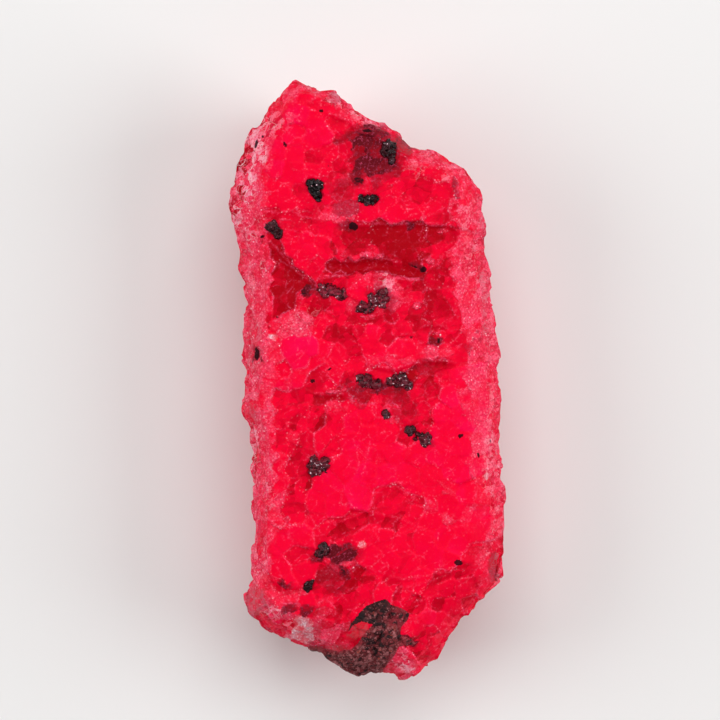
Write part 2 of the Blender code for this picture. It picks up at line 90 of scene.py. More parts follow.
# Widest outline, anticlockwise from the apex, as (x, y) in millimetres.
OUTLINE: Rows = (
    (-5.9, 25), (-6.4, 24.95), (-6.7, 24.5), (-7.1, 24.1), (-7.3, 23.7), (-7.6, 23.4), (-8.1, 23.05),
    (-8.3, 22.7), (-8.45, 22.2), (-8.7, 21.8), (-9.1, 21.35), (-9.6, 20.95), (-9.9, 20.65), (-10, 20.2),
    (-10.2, 19.3), (-10.35, 18.9), (-10.7, 18), (-10.85, 17.4), (-11.15, 16.3), (-11.45, 15.1),
    (-11.5, 14.5), (-11.45, 14.1), (-11.25, 13.6), (-11.15, 13.1), (-11.05, 12.6), (-10.8, 12.1),
    (-10.62, 11.1), (-10.6, 10.6), (-10.75, 10), (-10.7, 9.4), (-10.5, 8.8), (-10.2, 8.3), (-10.2, 7.3),
    (-10.05, 6.6), (-10.1, 5.3), (-10.4, 4.1), (-10.35, 3.6), (-10.2, 3.05), (-10.4, 2.4), (-10.5, 2),
    (-10.15, 1.2), (-10.1, 0.8), (-10.25, 0.2), (-10.15, -1.1), (-10.35, -2.2), (-10.38, -2.7),
    (-10.25, -3.2), (-10, -3.7), (-9.72, -4), (-9.55, -5.2), (-9.42, -6), (-9.6, -7),
    (-9.65, -7.5), (-9.5, -8.2), (-9.45, -8.8), (-9.65, -10), (-9.65, -10.8), (-9.5, -11.4),
    (-9.3, -12), (-9.3, -13.2), (-9.25, -13.8), (-9.5, -14.6), (-9.55, -15.8), (-9.5, -16.4),
    (-9.55, -17), (-9.8, -17.4), (-9.98, -17.9), (-10.02, -18.4), (-9.85, -19.4), (-9.6, -19.75),
    (-9.2, -20), (-9, -20.4), (-8.75, -20.75), (-8.3, -21), (-7.7, -21.3), (-7.2, -21.55),
    (-6.5, -21.62), (-5.7, -22.1), (-4.9, -22.25), (-4.6, -22.3), (-3.8, -22.6), (-3.1, -23.2),
    (-2.05, -23.85), (-1.55, -24.3), (-0.7, -24.65), (-0.2, -24.5), (0.3, -24.2), (0.9, -24.3),
    (1.55, -24.4), (2, -24.5), (2.6, -24.8), (2.95, -25), (3.4, -25), (3.8, -24.7), (4.4, -24.3),
    (5, -23.75), (5.5, -23.4), (5.85, -23.2), (6.2, -22.7), (6.4, -22.2), (6.6, -21.9), (7, -21.4),
    (7.25, -20.9), (7.55, -20.2), (8, -19.95), (8.5, -19.5), (9, -19), (9.6, -18.2), (10, -17.75),
    (10.5, -17.2), (11, -16.7), (11.2, -15.7), (11.3, -15), (11.4, -13.6), (11.45, -13),
    (11.4, -12), (11.45, -11.2), (11.4, -10.4), (11.45, -8.9), (11.3, -8.4), (11.1, -7.95),
    (11.25, -7), (11.25, -6.5), (11.1, -6), (11.2, -4.6), (11.2, -3.6), (11.1, -2.2), (11.25, -1.7),
    (11.3, -1.1), (11.25, -0.5), (11, 0.3), (11, 1), (11.15, 2.2), (11.1, 2.8), (10.95, 3.3),
    (10.75, 3.8), (10.8, 4.6), (10.6, 6), (10.45, 7.3), (10.2, 8), (10.2, 9.3), (10.1, 10),
    (9.9, 11.4), (10.05, 12.3), (9.8, 13.4), (9.5, 14.5), (9.5, 15.2), (9.45, 15.7), (9.15, 16.5),
    (8.9, 16.6), (8.45, 17.5), (8.1, 17.9), (7.6, 17.95), (7.2, 18), (6.9, 18.3), (6.6, 18.7),
    (6.2, 18.9), (5.4, 19), (5, 19.05), (4.4, 19.25), (3.9, 19.4), (3.6, 19.6), (3.2, 20),
    (2.95, 20.3), (2.7, 20.7), (2.4, 20.95), (2, 21), (1.7, 21.1), (1.1, 21.6), (0.7, 21.65),
    (0.4, 21.85), (0, 22.05), (-0.4, 22.2), (-1.1, 22.55), (-1.25, 22.8), (-1.5, 23.05), (-2, 23.4),
    (-2.2, 23.7), (-2.6, 24), (-3, 24.15), (-3.7, 24.12), (-4.4, 24.5), (-5, 24.65),
)

# Around the crystal: turn in degrees, width of the sloping side band, height of the widest line,
# and how much frost the band holds.
BANDS: Rows = (
    (0, 2.6, 8, 0.85), (23, 2.9, 8, 1), (33, 1.9, 9, 0.9), (43, 1.5, 10, 0.75),
    (60, 1.6, 11, 0.7), (80, 1.2, 11.5, 0.7), (100, 1, 12, 0.75), (117, 1, 11.5, 0.4),
    (129, 2, 10, 0.75), (149, 2.6, 8.5, 1), (157, 2.3, 8, 1), (180, 1.3, 8, 1),
    (201, 1.6, 8.5, 1), (214, 1, 8.5, 0.9), (229, 2.6, 9, 0.75), (250, 3, 9.5, 0.8),
    (267, 3.2, 9, 0.6), (285, 2.6, 9.5, 0.4), (302, 3.2, 10, 0.12), (316, 3.1, 10.2, 0.18),
    (325, 3, 10.5, 0.6), (338, 2.3, 8.5, 0.8), (360, 2.6, 8, 0.85),
)

# Facets of the front, from the slanting tip to the foot: centre x, y, reach, tone from deep to
# bright, frost.
FACETS: Rows = (
    (-5.9, 24.4, 0.9, 0.3, 0.5), (-4.9, 23.7, 0.9, -0.05, 0.1), (-4.2, 23.1, 0.7, -0.15, 0.05),
    (-6.7, 23.2, 0.8, 0.15, 0.35), (-7.6, 22.8, 0.8, 0.2, 0.5), (-3.2, 23.7, 0.7, -0.2, 0.6),
    (-2.3, 23, 0.6, -0.15, 0.6), (-3.4, 22.6, 0.8, -0.05, 0.1), (-2.2, 22.3, 0.6, -0.35, 0.15),
    (-1, 22, 0.6, 0, 0.65), (0.2, 21.9, 0.5, 0, 0.6), (-6.7, 21.9, 0.8, 0.2, 0.4),
    (-5.4, 22, 0.9, 0.1, 0.1), (-4.4, 21.6, 1, 0.05, 0), (-2.6, 21.2, 0.8, -0.2, 0.2),
    (-1.7, 21.4, 0.6, -0.1, 0.35), (-0.9, 21.3, 0.5, -0.25, 0.3), (0.6, 21.2, 0.6, -0.25, 0.2),
    (1.5, 20.7, 0.6, -0.15, 0.3), (2.3, 20.5, 0.6, 0, 0.4), (-8.2, 21.3, 0.8, 0.2, 0.6),
    (-9.2, 20.4, 0.8, 0.15, 0.6), (-7.3, 20.6, 0.7, 0.15, 0.5), (-8.3, 19.8, 0.8, 0.15, 0.55),
    (-9.7, 19.1, 0.7, 0, 0.6), (-6, 20.4, 1.1, 0, 0.02), (-4.6, 20, 1.1, 0.08, 0.02),
    (-3.5, 20.5, 0.9, 0.15, 0.05), (-2.2, 20, 0.6, -0.3, 0.1), (-1.2, 20.5, 0.6, -0.4, 0.15),
    (-0.2, 20.6, 0.6, -0.6, 0.1), (-7.4, 19, 1, 0.15, 0.32), (-6, 18.9, 1, 0.05, 0.02),
    (-4.4, 18.7, 1, -0.1, 0), (-3, 18.9, 0.9, -0.1, 0.02), (-1.8, 19, 0.8, -0.35, 0.1),
    (-0.4, 19.4, 0.7, -0.5, 0.2), (0.6, 19.6, 0.7, -0.6, 0.1), (-8.7, 18.2, 0.8, 0.2, 0.5),
    (-9.8, 17.9, 0.8, 0.1, 0.75), (-10.4, 17.2, 0.6, 0.1, 0.6), (-7.6, 17.6, 0.9, 0.2, 0.4),
    (-6, 17.3, 1.1, 0.1, 0.05), (-4.6, 17.5, 0.9, -0.05, 0.05), (-3.3, 17.6, 0.7, -0.2, 0.15),
    (-2.3, 17.9, 0.8, -0.35, 0.1), (-1.1, 18.2, 0.6, -0.55, 0.05), (0.2, 18.6, 0.8, -0.6, 0.1),
    (1, 17.8, 0.7, -0.65, 0.15), (2.6, 19.3, 0.6, -0.2, 0.4), (3.5, 19, 0.6, -0.1, 0.5),
    (3, 18.2, 0.6, -0.3, 0.3), (4.6, 18.7, 0.7, 0, 0.6), (6, 18.4, 0.8, 0.05, 0.65),
    (7.2, 17.6, 0.7, 0.05, 0.5), (8.1, 17.3, 0.6, 0.1, 0.1), (4.2, 17.8, 0.6, -0.3, 0.4),
    (5.2, 17.5, 0.7, -0.1, 0.35), (6.3, 17, 0.7, 0, 0.5), (3.2, 17.3, 0.7, -0.4, 0.02),
    (2, 17.6, 0.6, -0.4, 0.25), (-8.4, 16.3, 0.9, 0.15, 0.35), (-9.6, 16.4, 0.7, 0.05, 0.75),
    (-10.6, 15.8, 0.7, 0, 0.55), (-7, 15.9, 1, 0.05, 0.05), (-5.7, 15.6, 0.9, -0.1, 0.02),
    (-2.9, 16.7, 0.8, -0.3, 0.2), (-1.7, 16.8, 0.7, -0.35, 0.3), (-1.8, 15.8, 0.7, -0.5, 0.2),
    (-0.4, 16, 0.6, -0.3, 0.25), (0.8, 16.5, 0.7, -0.25, 0.25), (1.9, 16.6, 0.7, -0.3, 0.1),
    (1.6, 15.7, 0.8, -0.2, 0.05), (3.4, 16.2, 0.9, -0.3, 0.1), (4.9, 16.4, 0.8, -0.3, 0.02),
    (4.6, 15.4, 1, -0.35, 0), (6.2, 15.7, 0.9, -0.28, 0.05), (7.5, 16.3, 0.6, -0.25, 0.4),
    (8.7, 16.5, 0.5, 0.1, 0.35), (8.8, 15.6, 0.6, 0.1, 0.02), (8, 15.2, 0.6, 0, 0.55),
    (8.9, 14.4, 0.6, 0, 0.65), (-8.1, 15, 0.9, 0, 0.2), (-9.7, 14.9, 0.8, -0.2, 0.5),
    (-10.9, 14.4, 0.6, 0, 0.5), (-6.6, 14.7, 0.9, 0, 0.1), (-4.9, 14.6, 0.8, -0.2, 0.2),
    (-3.6, 14.6, 0.8, -0.3, 0.25), (-2.4, 14.6, 0.8, -0.35, 0.4), (-1.3, 14.4, 0.7, -0.35, 0.4),
    (0.1, 14.2, 0.8, -0.05, 0.05), (1.5, 14.8, 0.8, -0.1, 0.05), (3, 15, 0.8, -0.15, 0.08),
    (2.4, 13.9, 1, 0, 0.12), (4, 14.2, 0.9, -0.05, 0.05), (5.4, 14.4, 0.9, -0.15, 0.05),
    (6.9, 14.6, 0.8, -0.25, 0.05), (5.6, 13.6, 0.8, -0.05, 0.05), (7.3, 13.5, 0.8, -0.15, 0.15),
    (-7.9, 14, 0.8, -0.45, 0.05), (-6.4, 13.9, 0.7, -0.35, 0.05), (-5.2, 13.7, 0.7, -0.4, 0.05),
    (-9.2, 13.5, 0.7, -0.1, 0.45), (-10.4, 12.8, 0.8, 0, 0.5), (-9.6, 11.9, 0.8, 0.05, 0.6),
    (-3.7, 13.6, 0.7, -0.3, 0.45), (-2.4, 13.7, 0.7, -0.3, 0.5), (-8.8, 12.6, 0.6, 0, 0.35),
    (-6.6, 13, 0.6, -0.3, 0.2), (-5.6, 12.9, 0.7, -0.25, 0.15), (-4.5, 12.7, 0.7, -0.35, 0.05),
    (-3.4, 12.5, 0.8, -0.3, 0.1), (-2.3, 12.4, 0.6, -0.3, 0.25), (-6.3, 12, 0.7, -0.1, 0.1),
    (-5, 11.8, 0.8, 0, 0.12), (-3.7, 11.5, 0.8, -0.1, 0.12), (-2.5, 11.4, 0.7, -0.4, 0.15),
    (-1.4, 11.9, 0.8, -0.6, 0.1), (-0.2, 12.3, 0.8, -0.6, 0.05), (1.2, 12.3, 1, -0.8, 0.03),
    (2.8, 12.3, 1, -0.85, 0.03), (4.3, 12.2, 1, -0.85, 0.02), (5.6, 12.1, 0.9, -0.6, 0.08),
    (7, 12.2, 0.8, -0.5, 0.05), (-0.7, 11, 0.7, -0.5, 0.25), (0.5, 10.6, 0.5, -0.3, 0.5),
    (1.8, 11.2, 0.8, -0.75, 0.08), (3.2, 10.9, 0.9, -0.75, 0.1), (4.7, 11.1, 0.9, -0.75, 0.03),
    (6.1, 11.1, 0.8, -0.45, 0.12), (7.3, 11, 0.7, -0.4, 0.1), (-6.1, 10.9, 0.8, 0, 0.12),
    (-4.7, 10.8, 0.8, 0.05, 0.15), (-3.4, 10.5, 0.7, -0.1, 0.15), (-2.1, 10.6, 0.7, -0.45, 0.3),
    (-0.9, 10.3, 0.4, -0.3, 0.4), (-5.4, 9.9, 0.8, -0.05, 0.05), (-4.4, 9.3, 0.8, -0.2, 0.02),
    (-3.9, 10, 0.6, -0.25, 0.03), (-2.8, 9.6, 0.7, -0.9, 0.02), (-1.5, 9.5, 0.7, -1, 0.02),
    (-0.2, 9.6, 0.7, -1, 0.01), (1.1, 9.7, 0.7, -1, 0.01), (2.4, 9.7, 0.7, -0.9, 0.03),
    (3.5, 9.3, 0.7, -0.95, 0.02), (4.2, 8.8, 0.5, -0.95, 0.02), (3.9, 10.1, 0.7, -0.8, 0.02),
    (5.3, 9.9, 0.6, -0.4, 0.25), (6.4, 10, 0.7, -0.35, 0.12), (6, 9, 0.7, -0.4, 0.08),
    (5.5, 8.2, 0.7, -0.25, 0.12), (6.8, 8.1, 0.6, -0.5, 0.03), (7.3, 9, 0.5, -0.15, 0.25),
    (-8, 11.6, 0.7, -0.7, 0.05), (-7.4, 10.6, 0.7, -0.7, 0.02), (-6.7, 9.7, 0.7, -0.8, 0),
    (-6, 8.8, 0.7, -0.95, 0), (-7.2, 8.9, 0.7, -0.8, 0.02), (-6.3, 7.9, 0.7, -0.85, 0.02),
    (-7.4, 7.6, 0.8, -0.75, 0.03), (-6.6, 6.9, 0.7, -0.7, 0.03), (-7.3, 6.2, 0.7, -0.75, 0.02),
    (-5.2, 8.3, 0.4, -0.8, 0), (-8.5, 10.6, 0.6, 0, 0.4), (-8.2, 9.5, 0.6, -0.2, 0.3),
    (-8.6, 8.4, 0.6, -0.1, 0.3), (-8.3, 7.2, 0.6, -0.3, 0.12), (-8.4, 6.2, 0.7, -0.35, 0.2),
    (-9.7, 10.6, 0.8, 0, 0.55), (-9.4, 9.2, 0.8, 0.05, 0.6), (-9.6, 7.8, 0.8, -0.15, 0.5),
    (-9.3, 6.4, 0.8, -0.15, 0.5), (-9.6, 5, 0.8, -0.3, 0.45), (-9.2, 3.8, 0.8, -0.35, 0.45),
    (-9.8, 2.4, 0.8, -0.3, 0.5), (-9.3, 1, 0.8, -0.15, 0.5), (-3.4, 8.6, 0.5, -0.45, 0.08),
    (-2.3, 8.6, 0.6, -0.45, 0.15), (-1.1, 8.5, 0.6, -0.3, 0.25), (-0.5, 7.6, 0.8, 0, 0.2),
    (0.3, 8.5, 0.5, -0.2, 0.4), (1.2, 8.5, 0.7, -0.3, 0.7), (2.1, 8.1, 0.5, -0.3, 0.55),
    (3, 7.9, 0.7, -0.55, 0.25), (4.1, 7.9, 0.6, -0.5, 0.2), (3.3, 7.1, 0.6, -0.45, 0.25),
    (4.4, 6.9, 0.7, -0.45, 0.15), (2.6, 6.2, 0.6, -0.4, 0.3), (3.2, 5.6, 0.6, -0.35, 0.25),
    (4.4, 5.9, 0.6, -0.42, 0.05), (5.5, 6.8, 0.8, -0.42, 0.03), (6.4, 5.9, 0.9, -0.46, 0.02),
    (5.3, 5.5, 0.8, -0.48, 0.02), (6.9, 7.2, 0.6, -0.3, 0.1), (-5.2, 6.7, 0.7, -0.35, 0.25),
    (-4.3, 6.2, 0.6, -0.55, 0.1), (-3.3, 6.3, 0.6, -0.45, 0.15), (-2.3, 6.2, 0.6, -0.3, 0.2),
    (-1.4, 6, 0.6, -0.3, 0.5), (-2, 5.3, 0.7, -0.35, 0.1), (-0.6, 5.2, 0.7, -0.35, 0.2),
    (0.8, 5.2, 0.7, -0.4, 0.25), (2.1, 5.3, 0.6, -0.6, 0.02), (-3.4, 5.2, 0.7, -0.2, 0.12),
    (7.2, 6.2, 0.6, -0.2, 0.2), (-6.6, 4.9, 0.8, 0.1, 0.65), (-5.3, 4.7, 0.9, 0.15, 0.75),
    (-6.9, 4.2, 0.7, 0.1, 0.65), (-5.2, 4.2, 0.7, 0.1, 0.7), (-7.9, 3.2, 0.7, 0.1, 0.45),
    (-6.4, 2.8, 0.95, 0.36, 0), (-4.9, 2.8, 0.95, 0.36, 0), (-5.6, 1.7, 0.95, 0.35, 0),
    (-7.4, 2.2, 0.7, 0.1, 0.35), (-3.8, 4.2, 0.7, -0.1, 0.1), (-3, 3.9, 0.8, -0.4, 0),
    (-1.8, 4.3, 0.7, -0.3, 0.08), (-1.6, 3.3, 0.8, -0.35, 0), (-3.4, 2.8, 0.7, 0.1, 0.08),
    (-2.3, 2.4, 0.8, -0.2, 0.03), (-1.2, 2.6, 0.7, -0.3, 0.05), (-0.6, 4, 0.7, -0.2, 0.1),
    (0.5, 3.9, 0.8, 0, 0.08), (1.7, 4.2, 0.7, -0.2, 0.1), (1.8, 3.3, 0.7, -0.25, 0),
    (0.5, 2.7, 0.8, -0.1, 0), (1.4, 2.5, 0.6, 0.1, 0.08), (2.5, 2.7, 0.7, 0.15, 0.1),
    (3.5, 2.5, 0.7, 0.1, 0.25), (3, 4.4, 0.7, -0.3, 0.12), (4.5, 2.3, 0.6, 0.05, 0.3),
    (4, 4.9, 0.6, -0.4, 0.1), (0.9, 1.7, 0.7, 0.1, 0.45), (2.2, 1.7, 0.8, 0.15, 0.5),
    (3.3, 1.4, 0.6, 0.1, 0.4), (5.4, 2.4, 0.7, -0.1, 0.55), (6.5, 2.4, 0.7, -0.1, 0.55),
    (4.8, 4.6, 0.6, -0.2, 0.4), (5.7, 4.7, 0.6, -0.35, 0.2), (6.8, 4.7, 0.7, -0.4, 0.02),
    (6.9, 3.6, 0.7, -0.3, 0.05), (5.6, 3.35, 0.55, -0.7, 0), (4.6, 3.4, 0.6, -0.15, 0.08),
    (7.6, 3, 0.7, -0.1, 0.35), (4.7, 1.2, 0.6, -0.5, 0.15), (6.1, 1.3, 0.7, -0.4, 0.12),
    (7.2, 1.3, 0.6, -0.2, 0.12), (3.9, 0.6, 0.6, -0.65, 0.05), (1.4, 0.9, 0.8, -0.25, 0.08),
    (5.2, 0.6, 0.6, -0.4, 0.3), (6.3, 0.4, 0.7, -0.1, 0.35), (7.4, 0.5, 0.7, 0.15, 0.15),
    (-0.9, 1.4, 0.7, -0.45, 0.1), (-6.9, 0.9, 0.7, -0.2, 0.1), (-5.4, 0.9, 0.6, 0.05, 0.3),
    (-4.4, 1.4, 0.7, 0, 0.08), (-4, 0.7, 0.7, -0.35, 0.05), (-2.9, 1.4, 0.6, -0.1, 0.15),
    (-2.5, 0.6, 0.7, -0.05, 0.2), (-1.6, 0.3, 0.6, -0.35, 0.1), (-6.9, -0.3, 0.7, 0.1, 0.35),
    (-5.7, 0.1, 0.7, 0.1, 0.15), (-4.6, -0.3, 0.6, -0.35, 0.05), (-3.5, -0.3, 0.8, -0.35, 0.05),
    (-7.9, 0.4, 0.8, 0.1, 0.5), (-8.3, -1, 0.7, 0.05, 0.6), (-8.4, -2.6, 0.7, 0, 0.55),
    (-7.2, -1.4, 0.8, -0.4, 0.03), (-6.2, -1.6, 0.7, -0.45, 0), (-5.2, -1.3, 0.7, -0.35, 0.1),
    (-6.4, -2.6, 0.7, -0.25, 0.05), (-5.2, -2.4, 0.7, -0.2, 0.08), (-4.2, -2.3, 0.8, -0.4, 0.02),
    (-3, -1.3, 0.5, -0.5, 0.05), (-2, -1.4, 0.55, -0.7, 0.02), (-2.8, -2.2, 0.6, -0.1, 0.35),
    (-1.7, -2.3, 0.7, -0.05, 0.25), (0.2, -1.4, 0.7, -0.5, 0.2), (1.6, -1.3, 0.7, -0.55, 0.2),
    (2.9, -1.7, 0.6, -0.7, 0.15), (4.4, -1.2, 0.7, -0.3, 0.4), (4.6, -0.2, 0.7, -0.45, 0.03),
    (5.4, -0.8, 0.7, -0.3, 0.1), (3.6, -2.5, 0.7, -0.55, 0.1), (4.8, -2.5, 0.7, -0.4, 0.15),
    (2.2, -2.5, 0.6, -0.25, 0.35), (2.9, -3.3, 0.6, -0.4, 0.35), (4.6, -3.3, 0.7, -0.4, 0.2),
    (5.6, -1.8, 0.6, -0.15, 0.1), (7, -1.4, 0.9, 0.3, 0.02), (6.3, -2.6, 0.9, 0.2, 0.05),
    (8.1, -1, 0.8, 0.1, 0.4), (7.8, -2.9, 0.9, 0.25, 0.3), (0.2, -2.8, 1.1, 0, 0.05),
    (-1.1, -3.5, 1, 0.1, 0.05), (-2.5, -3.6, 0.9, -0.1, 0.02), (-4.3, -3.6, 0.8, -0.5, 0.03),
    (-3.6, -4.6, 0.8, -0.1, 0.15), (-5.7, -3.6, 0.9, -0.4, 0.03), (-7, -3.5, 0.8, -0.2, 0.2),
    (-7.2, -4.5, 0.7, -0.4, 0.1), (-6.2, -4.7, 0.6, -0.15, 0.35), (-5.1, -4.7, 0.8, -0.35, 0.08),
    (1.7, -4.4, 1.1, 0.08, 0.03), (3, -4.9, 0.8, -0.25, 0.05), (0.3, -4.6, 1, 0.1, 0.03),
    (-1.3, -5.2, 1.1, 0.15, 0.05), (-2.5, -5.5, 0.7, -0.35, 0), (-0.2, -6.1, 0.9, 0.1, 0.15),
    (1, -6.6, 0.8, 0.1, 0.2), (2.4, -6, 1.1, 0.1, 0.05), (4, -6.3, 1, 0.12, 0.03),
    (6.5, -4.4, 1, 0.15, 0.08), (6, -6.2, 1.2, 0.15, 0.05), (7.6, -5.6, 0.9, 0.2, 0.2),
    (7.4, -7.3, 1.3, 0.2, 0.03), (5.4, -7.8, 1.1, 0.05, 0.08), (3.4, -7.7, 1, 0, 0.06),
    (1.5, -7.8, 1, 0.12, 0.15), (0, -7.8, 1.1, 0.15, 0.03), (-1.8, -7.2, 1.1, 0.12, 0.03),
    (-3.2, -8.5, 1.1, 0.05, 0.03), (-5.6, -6.1, 0.7, -0.45, 0.15), (-6.6, -5.6, 0.7, -0.3, 0.25),
    (-6, -7.3, 0.9, -0.5, 0.03), (-5.6, -8.4, 0.8, -0.5, 0.05), (-7.3, -6.7, 0.8, -0.1, 0.35),
    (-7.2, -8.2, 0.8, -0.15, 0.25), (-8.2, -4.6, 0.8, 0, 0.5), (-8.5, -6.5, 0.8, 0.05, 0.55),
    (-8.4, -8.6, 0.8, 0, 0.5), (-7.5, -9.5, 0.8, 0, 0.55), (-8.2, -11, 0.9, 0.05, 0.5),
    (-7, -11.9, 0.6, 0, 0.45), (-8.3, -12.9, 0.9, 0.05, 0.55), (-8, -14.5, 0.9, 0.05, 0.35),
    (1.9, -9.9, 1.2, -0.3, 0), (3.8, -10.4, 1, -0.33, 0.02), (1.4, -11.5, 0.9, -0.28, 0.03),
    (3.2, -11.7, 0.9, -0.25, 0.02), (4.2, -9.1, 0.7, 0, 0.3), (5.6, -9.2, 0.8, 0, 0.2),
    (6.8, -8.9, 0.8, 0.05, 0.3), (5.4, -10.3, 0.6, 0.05, 0.5), (6.7, -10.2, 0.9, 0.05, 0.12),
    (8.3, -9.5, 0.9, 0.1, 0.15), (6.9, -11.5, 0.6, 0, 0.45), (8.2, -11, 0.8, 0.05, 0.3),
    (5.4, -11.8, 0.9, -0.1, 0.06), (-0.8, -9.6, 1.1, 0.15, 0.02), (-2.4, -10.2, 1.1, 0.08, 0.02),
    (-4.2, -10.2, 1, 0, 0.02), (-5.9, -9.6, 0.9, -0.2, 0), (-5.9, -11, 1.1, -0.25, 0),
    (-4.4, -11.6, 0.8, -0.1, 0.02), (-1, -11.8, 0.9, -0.4, 0.02), (-2.4, -12.4, 0.9, -0.45, 0.02),
    (-3.7, -12.5, 0.8, -0.35, 0.02), (-0.2, -12.9, 0.8, -0.15, 0.03), (-1.8, -13.5, 0.7, -0.2, 0.08),
    (1.2, -13.2, 1, 0, 0.03), (3.6, -12.6, 0.5, -0.15, 0.1), (3, -13.7, 1, -0.1, 0.02),
    (4.8, -13.2, 1, 0.05, 0.05), (6.4, -12.9, 0.9, 0, 0.03), (8.4, -12.5, 0.8, 0.1, 0.3),
    (7.6, -13.7, 0.9, 0.05, 0.08), (-5.5, -12.8, 1, 0.05, 0.03), (-6.8, -13.4, 0.8, 0.05, 0.15),
    (-5.9, -14.6, 0.9, -0.3, 0), (-7.2, -15.6, 0.9, 0, 0.08), (-5.4, -15.9, 0.8, -0.2, 0.03),
    (-6.4, -16.5, 0.6, 0, 0.15), (0.3, -14.4, 0.9, 0, 0.05), (2, -14.9, 0.8, 0, 0.04),
    (3.6, -15.2, 0.9, -0.05, 0.05), (5.4, -14.7, 1, 0.05, 0.06), (7, -14.9, 0.7, 0.05, 0.03),
    (8.6, -14.5, 0.7, -0.25, 0.03), (4.4, -16.2, 0.8, 0.05, 0.08), (3.6, -16.9, 0.6, -0.2, 0.06),
    (4.5, -17.2, 0.6, 0.1, 0.1), (1.3, -15.9, 0.8, -0.25, 0.03), (0.3, -16.9, 0.7, -0.4, 0.02),
    (-0.9, -16.5, 0.7, -0.6, 0), (2.3, -16.9, 0.6, -0.1, 0.03), (1.3, -17.5, 0.7, 0, 0.02),
    (6.4, -16.5, 0.6, -0.4, 0), (5.3, -17.6, 0.7, -0.35, 0.02), (8, -15.9, 0.8, -0.35, 0.02),
    (6.8, -17.3, 0.9, -0.25, 0.06), (8.2, -17.2, 1, -0.15, 0.02), (5.8, -18.5, 0.8, -0.22, 0.03),
    (7.2, -18.9, 0.9, -0.1, 0.03), (8.6, -18.6, 0.7, -0.35, 0.03), (9.6, -16.6, 0.7, -0.1, 0.2),
    (9.7, -17.6, 0.5, 0, 0.5), (4.2, -18.6, 0.7, -0.5, 0.05), (3, -17.8, 0.6, -0.35, 0.05),
    (5.2, -19.7, 0.7, 0.05, 0.25), (6.5, -20, 0.8, 0.05, 0.15), (7, -20.7, 0.5, -0.1, 0.3),
    (4.1, -20.4, 0.8, 0, 0.35), (5.2, -21.2, 0.8, -0.25, 0.15), (6, -22.2, 0.7, -0.3, 0.2),
    (4.2, -22.3, 0.7, -0.45, 0.05), (4.9, -23.2, 0.6, -0.35, 0.12), (3.3, -23.2, 0.7, 0, 0.6),
    (3.9, -24.1, 0.6, 0, 0.55), (2.9, -24.4, 0.6, -0.35, 0.4), (-0.4, -17.9, 0.7, -0.4, 0.02),
    (-1.8, -18.4, 1, -0.45, 0.03), (-0.8, -19.2, 0.6, -0.3, 0.02), (-3.1, -16.6, 0.7, -0.4, 0.35),
    (-2, -15.1, 0.6, -0.2, 0.4), (-3.8, -17.6, 0.7, -0.45, 0.1), (-3.6, -18.4, 0.6, -0.25, 0.4),
    (-5, -18.1, 0.7, -0.2, 0.35), (-6.3, -17.9, 0.7, -0.15, 0.3), (-6.2, -19.1, 0.7, -0.5, 0.3),
    (-7.7, -17, 0.7, -0.2, 0.3), (-8.8, -16.6, 0.7, -0.25, 0.5), (-7.8, -18.3, 0.8, 0, 0.4),
    (-9.4, -18.5, 0.8, -0.35, 0.6), (-8.5, -19.4, 0.5, -0.6, 0.05), (-7.6, -19.6, 0.6, 0.1, 0.5),
    (-6.4, -20.3, 0.7, -0.25, 0.45), (-8.3, -20.4, 0.7, -0.5, 0.1), (-7.2, -21.1, 0.6, -0.3, 0.35),
    (-4.6, -19.5, 0.6, -0.4, 0.35), (-3.3, -19.3, 0.7, -0.3, 0.35), (-3.4, -20.3, 0.7, -0.15, 0.4),
    (-2.2, -20.3, 0.7, -0.35, 0.2), (-2.9, -21.3, 0.7, -0.3, 0.25), (-4.2, -21.6, 0.7, -0.55, 0.2),
    (-1.5, -21.9, 0.7, -0.4, 0.35),
)


@dataclass(frozen=True)
class Ledge:
    """A broken edge across the front; the low side is on the right along its path."""

    drop: float
    reach: float
    # shade is painted shade that darkens the hollow on the low side.
    shade: float
    # glint is the pale frosted lip, partly a painted highlight.
    glint: float
    path: Rows


